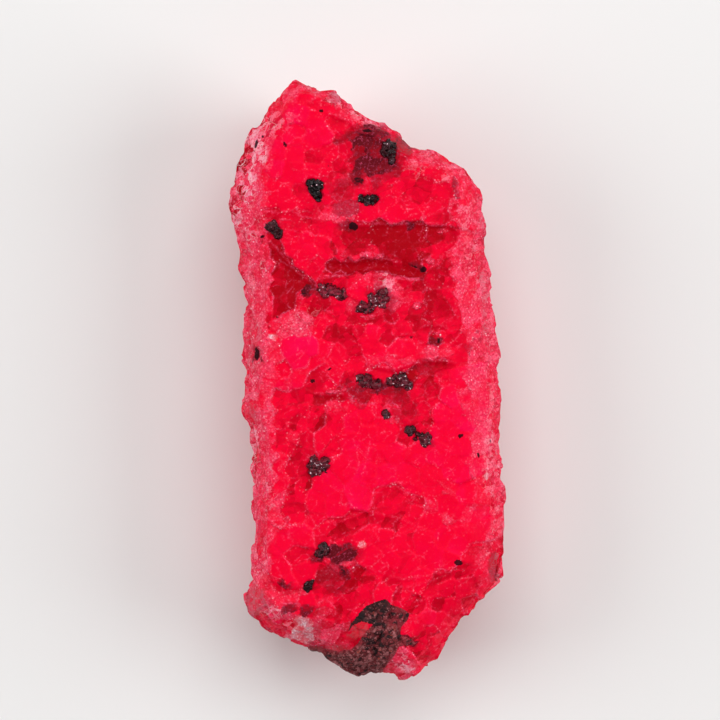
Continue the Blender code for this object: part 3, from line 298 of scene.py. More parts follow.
LEDGES: tuple[Ledge, ...] = (
    Ledge(0.22, 2.9, 0.15, 0.7, (
        (-3.6, 13.3), (-2.8, 13.16), (-0.8, 13), (1, 13.1), (3, 13.05), (4.7, 13.1), (6, 13.05),
        (6.9, 12.95), (7.6, 12.5),
    )),
    Ledge(0.2, 1.2, 0.15, 0.2, (
        (6.6, 13.1), (7.3, 12.9), (7.75, 12.3), (7.85, 11.6), (7.6, 10.9), (7, 10.2), (6.6, 9.5),
    )),
    Ledge(0.26, 1.4, 0.3, 0.6, (
        (-3.9, 9.7), (-3, 10.06), (-2.1, 10), (-0.9, 10), (-0.26, 10.2), (1, 10.13), (1.8, 10.13),
        (2.6, 9.87), (3.4, 9.74), (4.3, 9.3), (4.9, 9.1),
    )),
    Ledge(0.3, 1.3, 0.25, 0.7, (
        (5.2, 9), (4.9, 8.8), (4.1, 8.4), (3.1, 8.5), (2.1, 8.6), (1.2, 9.1), (0.3, 8.95), (-0.9, 8.83),
        (-2.3, 8.77), (-3.6, 8.57), (-4.8, 8.3),
    )),
    Ledge(0.22, 3, 0.2, 0.5, (
        (-8.9, 12.2), (-8, 11.55), (-7.1, 10.6), (-6.3, 9.7), (-5.7, 9), (-4.7, 8.3), (-4, 7.9),
    )),
    Ledge(0.12, 1.2, 0.08, 0.6, (
        (-8.6, 14.2), (-7.4, 14), (-6.3, 14.2), (-5.6, 13.7), (-4.6, 13.5), (-3.4, 13.4),
    )),
    Ledge(0.35, 1.2, 0.25, 0.5, (
        (-3.4, 22.5), (-2.9, 22.2), (-2.1, 21.9), (-1.2, 21.5), (-0.8, 21), (0.1, 20.5), (1.4, 19.9),
    )),
    Ledge(0.42, 1.4, 0.35, 0.7, (
        (-0.3, 1.6), (0.4, 1.4), (1.04, 1.2), (2.3, 0.95), (2.7, 1.1), (3.6, 1.46), (5.2, 1.72),
        (6.5, 1.7), (7.8, 1.4),
    )),
    Ledge(0.22, 1.2, 0.35, 0.6, ((-4.6, -1), (-3.7, -1.06), (-2.65, -1.06), (-1.6, -1.05))),
    Ledge(0.1, 1.6, 0.25, 0.4, (
        (-4.2, -11.7), (-3.4, -11.8), (-2.1, -11.66), (-1.2, -11.2), (-0.1, -10.8), (1.9, -11.2),
        (3.2, -11.6), (4.6, -12.3),
    )),
    Ledge(0.1, 1.6, 0.2, 0.3, (
        (-0.2, -11), (0, -10.8), (0.6, -9.9), (1.2, -8.75), (2.5, -8.75), (3.6, -9.5), (4.7, -10.3),
    )),
    Ledge(0.1, 1.8, 0.12, 0.3, (
        (-0.7, -15.2), (0.2, -15.5), (1.2, -16), (2.9, -16.5), (3.8, -16.4), (5.1, -16.2), (6.4, -15.9),
        (7.4, -15.3), (8.5, -14.7),
    )),
    Ledge(0.1, 1.2, 0.15, 0.3, ((0, -14.7), (-0.45, -15.1), (-1.2, -15.9), (-2, -16.9), (-2.6, -17.6))),
    Ledge(0.1, 1.3, 0.12, 0.3, (
        (1.2, -18.1), (2, -17.7), (2.9, -17.3), (4.5, -16.9), (6.1, -16.4), (7.3, -15.8),
    )),
    Ledge(0.3, 1.6, 0.15, 0.5, (
        (-9.4, -15.1), (-8.5, -15.9), (-7.7, -16.6), (-6.7, -17.2), (-5.6, -17.1), (-5.2, -17.2),
    )),
    Ledge(0.35, 1.2, 0.2, 0.4, (
        (-2.7, 4.6), (-3.4, 5.3), (-4.4, 5.1), (-5.4, 5.5), (-5.6, 6.2), (-5.2, 6.9),
    )),
    Ledge(0.1, 1.4, 0.1, 0.3, (
        (4.6, 8), (5.6, 7.6), (6.8, 7.8), (7.4, 7), (7.5, 5.9), (7, 5), (6.2, 4.7),
    )),
    Ledge(0.25, 1, 0.2, 0.4, ((4.4, 4.4), (5.2, 4.7), (6.3, 4.6), (6.9, 4.3))),
)

# Marks on the crystal by kind: x, y, half width, half length, turn in degrees, strength.
MARKS: dict[Mark, Rows] = {
    Mark.SMOKE: (
        (0.9, 18.9, 1.9, 2.3, 20, 1), (2, 17.6, 1.1, 0.8, 0, 0.6), (0.2, 20.75, 1.2, 0.45, -15, 0.75),
        (-1.1, 20.35, 1.1, 0.4, 12, 0.7), (-2.3, 19.95, 0.45, 0.3, 10, 0.6),
        (-0.8, 17.3, 0.5, 0.45, 0, 0.9), (-0.7, 16.6, 0.75, 0.55, 10, 0.75),
        (-0.2, 18.3, 1.1, 1.5, 0, 0.45), (3, 19.7, 0.9, 0.6, -35, 0.6), (3, 18.9, 0.6, 0.8, 0, 0.4),
        (-2.2, 15.9, 1, 0.9, 0, 0.3), (-1.6, 14.3, 1.1, 0.9, 0, 0.35), (-1.6, 12.85, 0.7, 0.5, 0, 0.6),
        (3.55, 12.9, 0.36, 0.36, 0, 0.95), (4.2, 9.45, 0.55, 0.25, -25, 0.8),
        (4.7, 9.25, 0.3, 0.3, 0, 1), (-4.7, 7.55, 0.95, 0.6, 10, 1), (-5.25, 7.4, 0.35, 0.4, 0, 0.85),
        (0.6, 7.5, 0.9, 0.6, 0, 0.4), (1.9, 6.6, 0.7, 0.9, 0, 0.35), (-0.9, -0.6, 0.9, 0.6, -30, 0.6),
        (-0.6, -1.6, 0.9, 0.5, 0, 0.4), (1.6, -0.6, 1.6, 0.55, 0, 0.75), (2.8, -1.5, 1, 0.5, 20, 0.35),
        (4.8, 1, 1.2, 0.4, 0, 0.3), (5.4, 0.6, 0.8, 0.4, 0, 0.3), (3.4, -2.6, 0.9, 0.6, 0, 0.25),
        (5.1, -5.2, 0.45, 0.4, 0, 0.7), (-2.2, -14.35, 1.5, 0.75, -4, 1),
        (-4.1, -14.7, 0.8, 0.5, 0, 0.85), (-1.1, -14.4, 0.7, 0.45, 0, 0.45),
        (-2, -16, 0.5, 0.45, 0, 0.85), (-3, -16.4, 1.1, 0.8, 0, 0.4),
        (-2.7, -17.3, 0.7, 0.6, 0, 0.45), (-6.7, -17, 0.6, 0.35, 0, 0.95),
        (-6.4, -19, 0.7, 0.4, 0, 0.6), (-4.9, -19.2, 0.6, 0.4, 15, 0.8), (5.8, -21.1, 0.3, 0.3, 0, 0.6),
        (3.4, -21.7, 0.9, 0.35, -30, 0.9), (7.3, 16.5, 0.3, 0.45, 0, 0.55), (7.5, 15.5, 0.2, 0.5, 30, 0.5),
        (8.4, 2.7, 0.5, 0.4, 0, 0.35), (9.1, 3.7, 0.35, 0.5, 0, 0.35), (-9.15, 2.2, 0.3, 0.7, 0, 0.9),
        (-4.2, -22.3, 1.2, 0.4, -10, 0.6), (-2.6, 23.6, 0.7, 0.35, -35, 0.3), (5.6, 3.3, 0.6, 0.4, 0, 0.6),
        (10.6, -15.6, 0.45, 1.2, 0, 0.35),
    ),
    Mark.FROST: (
        (-1.7, 14.2, 1.2, 1, 0, 0.5), (-1, 6.1, 0.9, 0.4, -30, 0.6), (2.2, 6.8, 0.5, 1.1, 0, 0.5),
        (0, 5.3, 0.7, 0.3, 0, 0.5), (-0.6, -2, 0.8, 0.3, -20, 0.5), (2.3, -3.2, 0.5, 0.35, 0, 0.6),
        (-1.3, -1.4, 0.2, 0.6, 20, 0.7), (-2.4, -0.85, 1, 0.15, 8, 0.7), (0.3, 10.4, 1, 0.3, -6, 0.6),
        (3.9, 8.45, 0.9, 0.18, 0, 0.7), (2.7, 8.5, 0.5, 0.15, 0, 0.6), (-2.4, 8.75, 1.3, 0.14, 2, 0.5),
        (4.7, 13.5, 0.4, 0.25, 30, 0.8), (-5.8, 13.5, 1.4, 0.2, 4, 0.5), (6.3, 12.5, 0.5, 0.25, 0, 0.6),
        (3.4, 13.08, 2.6, 0.12, 1, 0.45), (5.4, 10, 0.35, 0.3, 0, 0.7),
        (-1.6, -15.2, 1, 0.25, 15, 0.6), (-3.4, -17, 0.7, 0.2, 15, 0.5),
        (-7.4, -12.1, 0.6, 0.15, -15, 0.8), (-6.7, -11.7, 0.15, 0.5, -20, 0.7),
        (5.4, 7.4, 1.4, 0.1, -20, 0.4), (4.2, 6.2, 0.35, 0.25, 0, 0.7), (3.2, -9.3, 0.9, 0.25, -30, 0.35),
        (6.6, -8.8, 0.9, 0.15, -35, 0.4), (-8.6, 19.2, 1, 1.9, 30, 0.5), (-8.9, 15.8, 0.8, 2.2, 8, 0.5),
        (-7.3, 21.6, 1.1, 0.9, 45, 0.35), (0.9, 18.2, 0.5, 0.8, -20, 0.45),
        (-0.3, 19.3, 0.6, 0.3, 30, 0.4), (2.4, 20.3, 1.1, 0.3, -35, 0.45),
    ),
    Mark.WHITE: (
        (-5.2, -20.6, 0.85, 1, 30, 1), (-5.3, -21.4, 0.9, 0.5, -10, 0.75),
        (-6.2, -21.3, 0.3, 0.35, 0, 0.6), (-7.85, 3.6, 0.28, 0.16, 10, 1),
        (-7.6, 4.85, 0.35, 0.1, 45, 0.9), (-0.45, -13.75, 0.12, 0.24, -20, 0.5),
        (0.72, -2.1, 0.16, 0.12, 0, 0.7), (-6.25, -4.65, 0.2, 0.12, 0, 0.7),
        (8.6, 4.45, 0.12, 0.1, 0, 0.7), (10.1, -7.9, 0.1, 0.14, 0, 0.7), (7.4, -22.9, 0.3, 0.2, 0, 0.5),
        (4.7, 13.55, 0.2, 0.15, 30, 0.5),
    ),
    Mark.BROWN: (
        (3.1, 19.6, 0.9, 0.6, -35, 1), (-0.6, -20.9, 0.9, 0.7, 10, 0.6),
        (-9.3, -18.6, 0.9, 1.3, 0, 0.55), (-4.4, -21, 0.5, 0.8, 0, 0.35),
        (10.6, -15.7, 0.4, 1.1, 0, 0.5), (-9.4, 3, 0.7, 2.2, 0, 0.3), (9.9, 6.5, 0.35, 3.5, 6, 0.3),
        (9.8, 12.2, 0.25, 1.8, 0, 0.3), (-2, -22.6, 1.6, 0.5, -20, 0.6), (-9.6, -3, 0.4, 1, 0, 0.3),
    ),
    Mark.SPECK: (
        (-3.75, 22.45, 0.14, 0.13, 0, 0.9), (-6.8, 19.65, 0.14, 0.2, 20, 0.7),
        (-3.2, 17.85, 0.1, 0.16, 0, 0.5), (-9.2, 19.75, 0.12, 0.35, -15, 0.75),
        (-8.65, 20.35, 0.13, 0.14, 0, 0.8), (-4.55, 0, 0.2, 0.17, 0, 0.8),
        (-3.05, 0.95, 0.16, 0.1, 20, 0.7), (3.75, 3.6, 0.2, 0.2, 40, 0.35),
        (7.8, -4.6, 0.2, 0.18, 0, 0.85), (9.3, -6.2, 0.11, 0.24, 15, 0.85),
        (10.35, -5.1, 0.09, 0.25, 15, 0.5), (7.6, -15.15, 0.32, 0.2, -8, 0.95),
        (-8.7, 12, 0.2, 0.12, 25, 0.85), (6, 3.3, 0.16, 0.28, 0, 0.5),
        (-7.4, 5.25, 0.13, 0.18, 0, 0.4), (0, 20.8, 0.45, 0.16, 0, 0.8),
        (-1.15, 12.85, 0.4, 0.3, 0, 0.9), (-0.7, 16.6, 0.5, 0.4, 0, 0.5), (4.7, 9.25, 0.25, 0.24, 0, 0.8),
        (4, 9.5, 0.3, 0.1, -20, 0.7), (-5.25, 7.4, 0.25, 0.28, 0, 0.5),
        (-9.15, 2.2, 0.18, 0.55, 0, 0.75), (-2, -16, 0.32, 0.3, 0, 0.5),
        (-2.9, 7.9, 0.9, 0.2, -18, 0.5),
    ),
    # Gleam marks paint highlights where light catches the frosted plates.
    Mark.GLEAM: (
        (-7.9, -19.4, 1.1, 0.5, 0, 0.6), (-6.6, -20.4, 0.5, 0.4, 30, 0.5),
        (-10.3, 17, 0.9, 2.2, 14, 0.85), (-9.3, 19.4, 1, 1.6, 30, 0.6),
        (-10.9, 14.6, 0.6, 1.4, 0, 0.6), (-8.2, 21.3, 1.1, 1, 40, 0.45), (-9.4, 12.6, 0.6, 1, 0, 0.4),
        (-8.6, 9.3, 0.4, 0.7, 20, 0.5), (3.8, 17.6, 1, 0.7, -35, 0.12), (5.6, 17.3, 1.3, 0.5, -20, 0.2),
        (8.3, 13, 0.5, 2, 8, 0.15), (9, 9.5, 0.8, 2.6, 4, 0.15), (-2.6, 23.2, 0.9, 0.4, -35, 0.4),
        (-0.2, 21.7, 1.4, 0.4, -35, 0.4), (-9.4, -6, 0.4, 2.4, 4, 0.5), (-8.2, -9, 0.4, 2, 0, 0.3),
        (2.9, -23.6, 1.2, 0.4, -35, 0.55), (2.6, -22.7, 0.8, 0.4, -20, 0.35),
        (-5.2, 5.1, 1.5, 1, 20, 0.15), (10.2, -7, 0.5, 3, 0, 0.25), (10.6, -14.3, 0.5, 1.6, 0, 0.25),
        (2, 8, 0.9, 0.6, -30, 0.45),
    ),
}


@dataclass(frozen=True)
class Grain:
    """A dark grain: its node, how far red shows through it, and x, y and radius of its lobes."""

    node: str
    veil: float
    lobes: Rows


GRAINS: tuple[Grain, ...] = (
    Grain("grain_apex_left", 0, (
        (-4.6, 16.4, 0.42), (-4.05, 16.25, 0.45), (-4.35, 15.9, 0.45), (-4.1, 15.45, 0.42),
        (-4.05, 15.1, 0.24),
    )),
    Grain("grain_upper_middle", 0.05, (
        (-0.35, 15.1, 0.34), (0.1, 15, 0.4), (0.5, 15.05, 0.4), (0.8, 15.15, 0.26),
    )),
    Grain("grain_upper_left", 0.15, (
        (-8.05, 12.8, 0.36), (-7.75, 13, 0.32), (-7.55, 12.5, 0.4), (-7.35, 12.15, 0.38),
        (-7.2, 12.4, 0.25),
    )),
    Grain("grain_upper_right", 0.1, (
        (1.7, 19.5, 0.42), (1.5, 19, 0.36), (2, 18.9, 0.42), (2.1, 18.3, 0.3), (2.1, 19.6, 0.3),
    )),
    Grain("grain_chain", 0.75, (
        (-3.65, 7.6, 0.34), (-3.4, 7.2, 0.34), (-3, 7.5, 0.36), (-2.5, 7.3, 0.34), (-2.15, 7.05, 0.38),
        (-1.95, 7.3, 0.28), (-3.9, 7.9, 0.22),
    )),
    Grain("grain_tilted", 0.5, (
        (-0.55, 6, 0.32), (-0.3, 6.35, 0.3), (0.2, 6, 0.42), (0.55, 6.5, 0.42), (0.4, 7, 0.28),
        (1, 6.9, 0.4), (1.4, 7.3, 0.36), (1.55, 6.8, 0.34), (1.3, 6.3, 0.28), (-0.1, 5.75, 0.24),
    )),
    Grain("grain_long_left", 0.5, (
        (-0.5, 0.25, 0.3), (-0.2, -0.15, 0.42), (0.2, 0.2, 0.34), (0.6, -0.3, 0.4), (1, -0.2, 0.3),
    )),
    Grain("grain_long_right", 0.45, (
        (2, -0.1, 0.34), (2.5, 0.2, 0.34), (2.9, 0.4, 0.36), (3.1, -0.1, 0.42), (3.5, -0.4, 0.38),
        (2.5, -0.3, 0.26),
    )),
    Grain("grain_round", 0.25, ((1.5, -2.7, 0.3), (1.7, -2.85, 0.28))),
    Grain("grain_row_first", 0.15, ((3.5, -4.1, 0.33), (3.8, -4.05, 0.3), (3.65, -4.3, 0.28))),
    Grain("grain_row_second", 0.3, (
        (4.7, -4.8, 0.34), (5.05, -4.75, 0.32), (4.85, -5.15, 0.34), (4.3, -4.5, 0.2), (4.05, -4.85, 0.2),
    )),
    Grain("grain_low_left", 0.45, (
        (-4.4, -6.6, 0.34), (-4.6, -7.1, 0.36), (-4.35, -7.55, 0.38), (-4, -7, 0.34),
        (-3.5, -6.7, 0.36), (-3.45, -7.15, 0.32), (-3.9, -7.45, 0.3),
    )),
    Grain("grain_wedge", 0.2, (
        (-3.6, -13.85, 0.36), (-3.35, -14.2, 0.32), (-3.85, -14.35, 0.38), (-4.15, -14.5, 0.24),
    )),
    Grain("grain_kite", 0.05, (
        (-4.75, -16.85, 0.28), (-4.85, -17.15, 0.32), (-5.05, -17.05, 0.24), (-4.8, -17.4, 0.18),
    )),
)

# Seat of the matrix remnant at the foot, as a plan outline.
MATRIX_PLAN: Rows = (
    (-1.5, -20.85), (-1.3, -20.2), (-0.7, -19.4), (0, -18.75), (0.8, -18.4), (1.6, -18.15), (2.1, -18.6),
    (3, -18.95), (3.55, -19.4), (3.4, -19.9), (2.85, -20.5), (2.8, -21.1), (3.6, -21.4), (4.2, -21.95),
    (2.7, -22.1), (2.3, -22.9), (1.8, -23.5), (1.5, -24.1), (0.6, -26), (-3, -26), (-5.2, -23.6),
    (-4.9, -22.2), (-4.2, -22.2), (-3.4, -22.45), (-2.4, -22.6), (-1.3, -22.4), (-0.7, -21.9),
    (-0.3, -21.2), (0.1, -20.7), (0.5, -20.3), (-0.4, -20), (-1.2, -20.4),
)


class LatticeNoise:
    """Smooth noise in three dimensions from random values on a lattice."""

    def __init__(self, seed: int) -> None:
        """Draw the lattice.

        Args:
            seed: Starting value of the random draw.
        """
        self.values = np.random.default_rng(seed).uniform(-1.0, 1.0, (LATTICE,) * 3)

    def at(self, points: Array, size: float) -> Array:
        """Noise at each point.

        Args:
            points: Positions as rows, in millimetres.
            size: Rough distance across one lump.

        Returns:
            One value from -1 to 1 for each point.
        """
        scaled = points / size
        base = np.floor(scaled).astype(int)
        part = scaled - base
        part = part * part * (3.0 - 2.0 * part)
        total = np.zeros(len(points))
        for step in np.ndindex(2, 2, 2):
            cell = (base + step) % LATTICE
            share = np.prod(np.where(step, part, 1.0 - part), axis=1)
            total += share * self.values[cell[:, 0], cell[:, 1], cell[:, 2]]
        return total

    def layered(self, points: Array, size: float, layers: int) -> Array:
        """Noise of several sizes added together.

        Args:
            points: Positions as rows.
            size: Distance across the largest lump.
            layers: How many sizes, each half of the one before.

        Returns:
            One value for each point, mostly from -1 to 1.
        """
        total = np.zeros(len(points))
        for layer in range(layers):
            total += self.at(points + 7.3 * layer, size / 2 ** layer) / 2 ** layer
        return total / 1.5

    def nearest_seed(self, points: Array, size: float) -> Array:
        """Position of the nearest of the seeds strewn over the lattice.

        Args:
            points: Positions as rows.
            size: Rough distance between seeds.

        Returns:
            The seed positions as rows.
        """
        scaled = points / size
        base = np.floor(scaled).astype(int)
        best = np.full(len(points), np.inf)
        found = np.empty_like(scaled)
        for step in np.ndindex(3, 3, 3):
            cell = base + step - 1
            jitter = [self.values[tuple(((cell + shift) % LATTICE).T)] for shift in (0, 11, 22)]
            seed = cell + 0.5 + 0.5 * np.column_stack(jitter)
            away = ((seed - scaled) ** 2).sum(axis=1)
            closer = away < best
            best[closer] = away[closer]
            found[closer] = seed[closer]
        return found * size


def smooth_step(low: float, high: float, value: Array) -> Array:
    """Ease from 0 to 1 between two values.

    Args:
        low: Value that gives 0.
        high: Value that gives 1.
        value: Values to ease.

    Returns:
        The eased shares.
    """
    share = np.clip((value - low) / (high - low), 0.0, 1.0)
    return share * share * (3.0 - 2.0 * share)


def read_rows(data: bpy.types.bpy_prop_collection, name: str) -> Array:
    """Read one vector for each item of a mesh's data.

    Args:
        data: Vertices or vertex normals.
        name: Name of the vector.

    Returns:
        The vectors as rows.
    """
    values = np.empty(len(data) * 3)
    data.foreach_get(name, values)
    return values.reshape(-1, 3)


def write_points(mesh: Mesh, points: Array) -> None:
    """Move the vertices of a mesh to new positions."""
    mesh.vertices.foreach_set("co", points.ravel())
    mesh.update()


def write_mask(mesh: Mesh, name: str, values: Array) -> None:
    """Store one number for each vertex under a name that materials read."""
    layer = mesh.attributes.new(name, "FLOAT", "POINT")
    layer.data.foreach_set("value", values.astype(np.float32))


def add_object(name: str, work: bmesh.types.BMesh) -> Item:
    """Turn worked faces into an object in the scene.

    Args:
        name: Name of the object and its mesh.
        work: The faces, which are freed here.

    Returns:
        The new object.
    """
    mesh = bpy.data.meshes.new(name)
    work.to_mesh(mesh)
    work.free()
    item = bpy.data.objects.new(name, mesh)
    bpy.context.scene.collection.objects.link(item)
    return item


def modify(item: Item, kind: str, **settings: object) -> None:
    """Replace an object's mesh by what a modifier makes of it.

    Args:
        item: Object to change.
        kind: Blender's type name of the modifier.
        settings: Properties of the modifier.
    """
    modifier = item.modifiers.new(kind.lower(), kind)
    for name, value in settings.items():
        setattr(modifier, name, value)
    bpy.context.view_layer.update()
    graph = bpy.context.evaluated_depsgraph_get()
    mesh = bpy.data.meshes.new_from_object(item.evaluated_get(graph))
    item.modifiers.clear()
    item.data = mesh


def modify_part(item: Item, chosen: Array, kind: str, **settings: object) -> None:
    """Apply a modifier with some of an object's vertices as its group.

    Args:
        item: Object to change.
        chosen: Whether each vertex is in the group.
        kind: Blender's type name of the modifier.
        settings: Other properties of the modifier.
    """
    group = item.vertex_groups.new(name="chosen")
    group.add(np.flatnonzero(chosen).tolist(), 1.0, "REPLACE")
    modify(item, kind, vertex_group=group.name, **settings)
    item.vertex_groups.clear()


def finish_mesh(item: Item, material: Material) -> None:
    """Scale a mesh from millimetres to metres, smooth its shading and give it a material.

    Args:
        item: Object to finish.
        material: Material that covers it.
    """
    item.data.transform(Matrix.Scale(MM, 4))
    item.data.polygons.foreach_set("use_smooth", [True] * len(item.data.polygons))
    item.data.materials.clear()
    item.data.materials.append(material)


def follow_path(path: Array, plan: Array) -> tuple[Array, Array, Array]:
    """Place points along a bent line.

    Args:
        path: Corners of the line as rows.
        plan: Plan positions as rows.

    Returns:
        Each point's distance from the line, whether it is on the right of the line,
        and how far along the line it lies, from 0 to 1.
    """
    lengths = np.linalg.norm(np.diff(path, axis=0), axis=1)
    starts = np.concatenate([[0.0], np.cumsum(lengths)])
    away = np.full(len(plan), np.inf)
    right = np.zeros(len(plan), dtype=bool)
    along = np.zeros(len(plan))
    for start, end, length, before in zip(path, path[1:], lengths, starts):
        run = (end - start) / length
        offset = plan - start
        reached = np.clip(offset @ run, 0.0, length)
        gap = np.linalg.norm(offset - reached[:, None] * run, axis=1)
        closer = gap < away
        away[closer] = gap[closer]
        right[closer] = (run[0] * offset[:, 1] - run[1] * offset[:, 0])[closer] < 0.0
        along[closer] = (before + reached)[closer] / starts[-1]
    return away, right, along


@dataclass
class Cells:
    """Where points lie in a set of cells grown from seeds."""

    owner: Array
    neighbour: Array
    border: Array

    def blended(self, own: Array, other: Array, width: float) -> Array:
        """Mix each point's own value with its neighbour cell's value near their border.

        Args:
            own: Value of the cell that holds each point.
            other: Value of the next cell.
            width: Distance from the border at which the mix ends.

        Returns:
            The mixed values, equal at the border.
        """
        share = 0.5 + 0.5 * smooth_step(0.0, width, self.border)
        return own * share + other * (1.0 - share)

    def spread(self, values: Array, width: float) -> Array:
        """Give each point the value of its cell, eased over the borders.

        Args:
            values: One value for each cell.
            width: Distance from the border at which the easing ends.

        Returns:
            The value at each point.
        """
        return self.blended(values[self.owner], values[self.neighbour], width)


def grow_cells(points: Array, seeds: Array, reach: Array) -> Cells:
    """Find the two nearest seeds of every point, each seed with its own reach.

    Args:
        points: Positions as rows.
        seeds: Seed positions as rows.
        reach: How far each seed's cell reaches, in the same unit.

    Returns:
        The cell and next cell of each point, and its distance from their border.
    """
    count = len(points)
    owner = np.empty(count, dtype=int)
    neighbour = np.empty(count, dtype=int)
    border = np.empty(count)
    squares = (seeds ** 2).sum(axis=1) - reach ** 2
    for start in range(0, count, POINTS_AT_ONCE):
        here = slice(start, start + POINTS_AT_ONCE)
        part = points[here]
        power = squares - 2.0 * part @ seeds.T
        two = np.argpartition(power, 1, axis=1)[:, :2]
        rows = np.arange(len(part))
        flip = power[rows, two[:, 0]] > power[rows, two[:, 1]]
        two[flip] = two[flip][:, ::-1]
        apart = np.linalg.norm(seeds[two[:, 0]] - seeds[two[:, 1]], axis=1)
        gap = power[rows, two[:, 1]] - power[rows, two[:, 0]]
        owner[here] = two[:, 0]
        neighbour[here] = two[:, 1]
        border[here] = gap / (2.0 * np.maximum(apart, 1e-6))
    return Cells(owner, neighbour, border)


def chip_rise(cells: Cells, points: Array, seeds: Array, rise: Array, tilt: Array, width: float) -> Array:
    """Rise of flat chips, each tilted about its seed.

    Args:
        cells: Chip cells of the points.
        points: Positions as rows.
        seeds: Seed of each chip.
        rise: Rise of each chip at its seed.
        tilt: Slope of each chip, as rows.
        width: Distance from a border at which the easing ends.

    Returns:
        The rise at each point.
    """
    own, other = (
        rise[index] + ((points - seeds[index]) * tilt[index]).sum(axis=1)
        for index in (cells.owner, cells.neighbour)
    )
    return cells.blended(own, other, width)


@dataclass
class ChipLayer:
    """Flat chips over a surface: their cells, and each point's rise and tone."""

    cells: Cells
    rise: Array
    tone: Array


@dataclass
class Skin:
    """The crystal's surface while it is shaped, with one row or number for each vertex."""

    points: Array
    facing: Array
    bent: Array
    front: Array
    held: Array
    facets: Cells
    chips: ChipLayer
    slabs: ChipLayer
    masks: dict[str, Array] = field(default_factory=dict)

    def mix(self, name: str, on_front: Array, on_bands: Array) -> None:
        """Keep a mask that has one value on the front and another on the bands."""
        self.masks[name] = self.front * on_front + (1.0 - self.front) * on_bands


@dataclass
class RubyCrystal:
    """The crystal: a stubby six-sided prism with a chipped front and frosted bands."""

    front_height: float = 15.2
    back_inset: float = 4.0
    back_trim: float = 0.5
    flank_inset: float = 0.9
    flank_share: float = 0.45
    rim_half: float = 0.4
    band_inset_share: float = 0.42
    band_rise_share: float = 0.62
    spine_foot: Spot = (1.0, -14.0)
    spine_run: Spot = (-3.0, 28.0)
    half_width: float = 11.5
    half_length: float = 25.0
    front_slopes: Spot = (0.25, 0.7)
    front_levels: Spot = (11.0, 13.5)
    outline_step: float = 0.35
    skin_step: float = 0.12
    most_faces: int = 197000
    rim_lift: float = 0.36
    shoulder_height: float = 12.3
    shoulder_passes: int = 24
    crown: float = 0.009
    facet_rise: float = 0.42
    facet_tilt: float = 0.16
    ledge_drop: float = 0.65
    ledge_face: float = 0.45
    lip_width: float = 0.14
    pocket_depth: float = 0.75
    chip_size: float = 1.15
    side_chips: float = 1.7
    slab_size: float = 3.4
    side_slabs: float = 1.6
    tone_gain: float = 1.45
    tone_slope: float = 0.13
    tone_jitter: float = 0.14
    shoulder_frost: float = 0.68
    band_frost: float = 0.74
    band_tone: float = 0.1
    hairline: float = 0.35
    seed: int = 20
    noise: LatticeNoise = field(init=False)
    table: Array = field(init=False)
    bands: Array = field(init=False)

    def __post_init__(self) -> None:
        """Draw the noise that bends and roughens the surface, and read the tables."""
        self.noise = LatticeNoise(self.seed)
        self.table = np.array(FACETS)
        self.bands = np.array(BANDS)

    def outline(self, step: float) -> Array:
        """The widest outline with points at even steps.

        Args:
            step: Distance between points.

        Returns:
            Plan points as rows.
        """
        closed = np.array(OUTLINE + OUTLINE[:1])
        lengths = np.linalg.norm(np.diff(closed, axis=0), axis=1)
        along = np.concatenate([[0.0], np.cumsum(lengths)])
        count = int(along[-1] / step)
        wanted = np.arange(count) * along[-1] / count
        x = np.interp(wanted, along, closed[:, 0])
        y = np.interp(wanted, along, closed[:, 1])
        return np.column_stack([x, y])

    def toward_spine(self, points: Array) -> Array:
        """Find the way from plan points toward the crystal's spine.

        Args:
            points: Plan positions as rows.

        Returns:
            Unit directions as rows.
        """
        low = np.array(self.spine_foot)
        run = np.array(self.spine_run)
        share = np.clip((points - low) @ run / (run @ run), 0.0, 1.0)
        away = low + share[:, None] * run - points
        return away / np.linalg.norm(away, axis=1)[:, None]

    def turn(self, plan: Array) -> Array:
        """Turn of plan points around the crystal, in degrees from its right side."""
        around = np.arctan2(plan[:, 1] / self.half_length, plan[:, 0] / self.half_width)
        return np.degrees(around) % 360.0

    def rings(self) -> list[Array]:
        """Lay out the sections from the back up to the front.

        Returns:
            The sections as rows of points, with equal point counts.
        """
        outline = self.outline(self.outline_step)
        smooth = outline.copy()
        for step in (-4, -3, -2, -1, 1, 2, 3, 4):
            smooth += np.roll(outline, step, axis=0)
        smooth /= 9.0
        inward = self.toward_spine(smooth)
        turn = self.turn(outline)
        width = np.interp(turn, self.bands[:, 0], self.bands[:, 1])[:, None]
        rim = np.interp(turn, self.bands[:, 0], self.bands[:, 2])
        rim += self.rim_lift * (self.front_height - rim)
        rise = self.front_height - rim
        levels = [
            (smooth + inward * self.back_inset, np.full(len(rim), -self.back_trim)),
            (smooth + inward * self.flank_inset, rim * self.flank_share),
            (outline, rim - self.rim_half),
            (outline, rim + self.rim_half),
            (smooth + inward * width * self.band_inset_share, rim + rise * self.band_rise_share),
            (smooth + inward * width, np.full(len(rim), self.front_height)),
        ]
        return [np.column_stack([plan, height]) for plan, height in levels]

    def blank(self) -> Item:
        """Loft the sections into a closed body with an even skin.

        Returns:
            The blank crystal, in millimetres.
        """
        work = bmesh.new()
        rows = [[work.verts.new(Vector(point)) for point in ring] for ring in self.rings()]
        count = len(rows[0])
        for lower, upper in zip(rows, rows[1:]):
            for index in range(count):
                after = (index + 1) % count
                work.faces.new((lower[index], lower[after], upper[after], upper[index]))
        work.faces.new(list(reversed(rows[0])))
        work.faces.new(rows[-1])
        bmesh.ops.recalc_face_normals(work, faces=work.faces)
        item = add_object("ruby_crystal_look", work)
        modify(item, "REMESH", mode="VOXEL", voxel_size=self.skin_step)
        self.round_shoulder(item)
        return item

    def round_shoulder(self, item: Item) -> None:
        """Ease the crease between the front and its slanted bands.

        Args:
            item: The blank crystal.
        """
        upper = read_rows(item.data.vertices, "co")[:, 2] > self.shoulder_height
        modify_part(item, upper, "SMOOTH", factor=0.5, iterations=self.shoulder_passes)

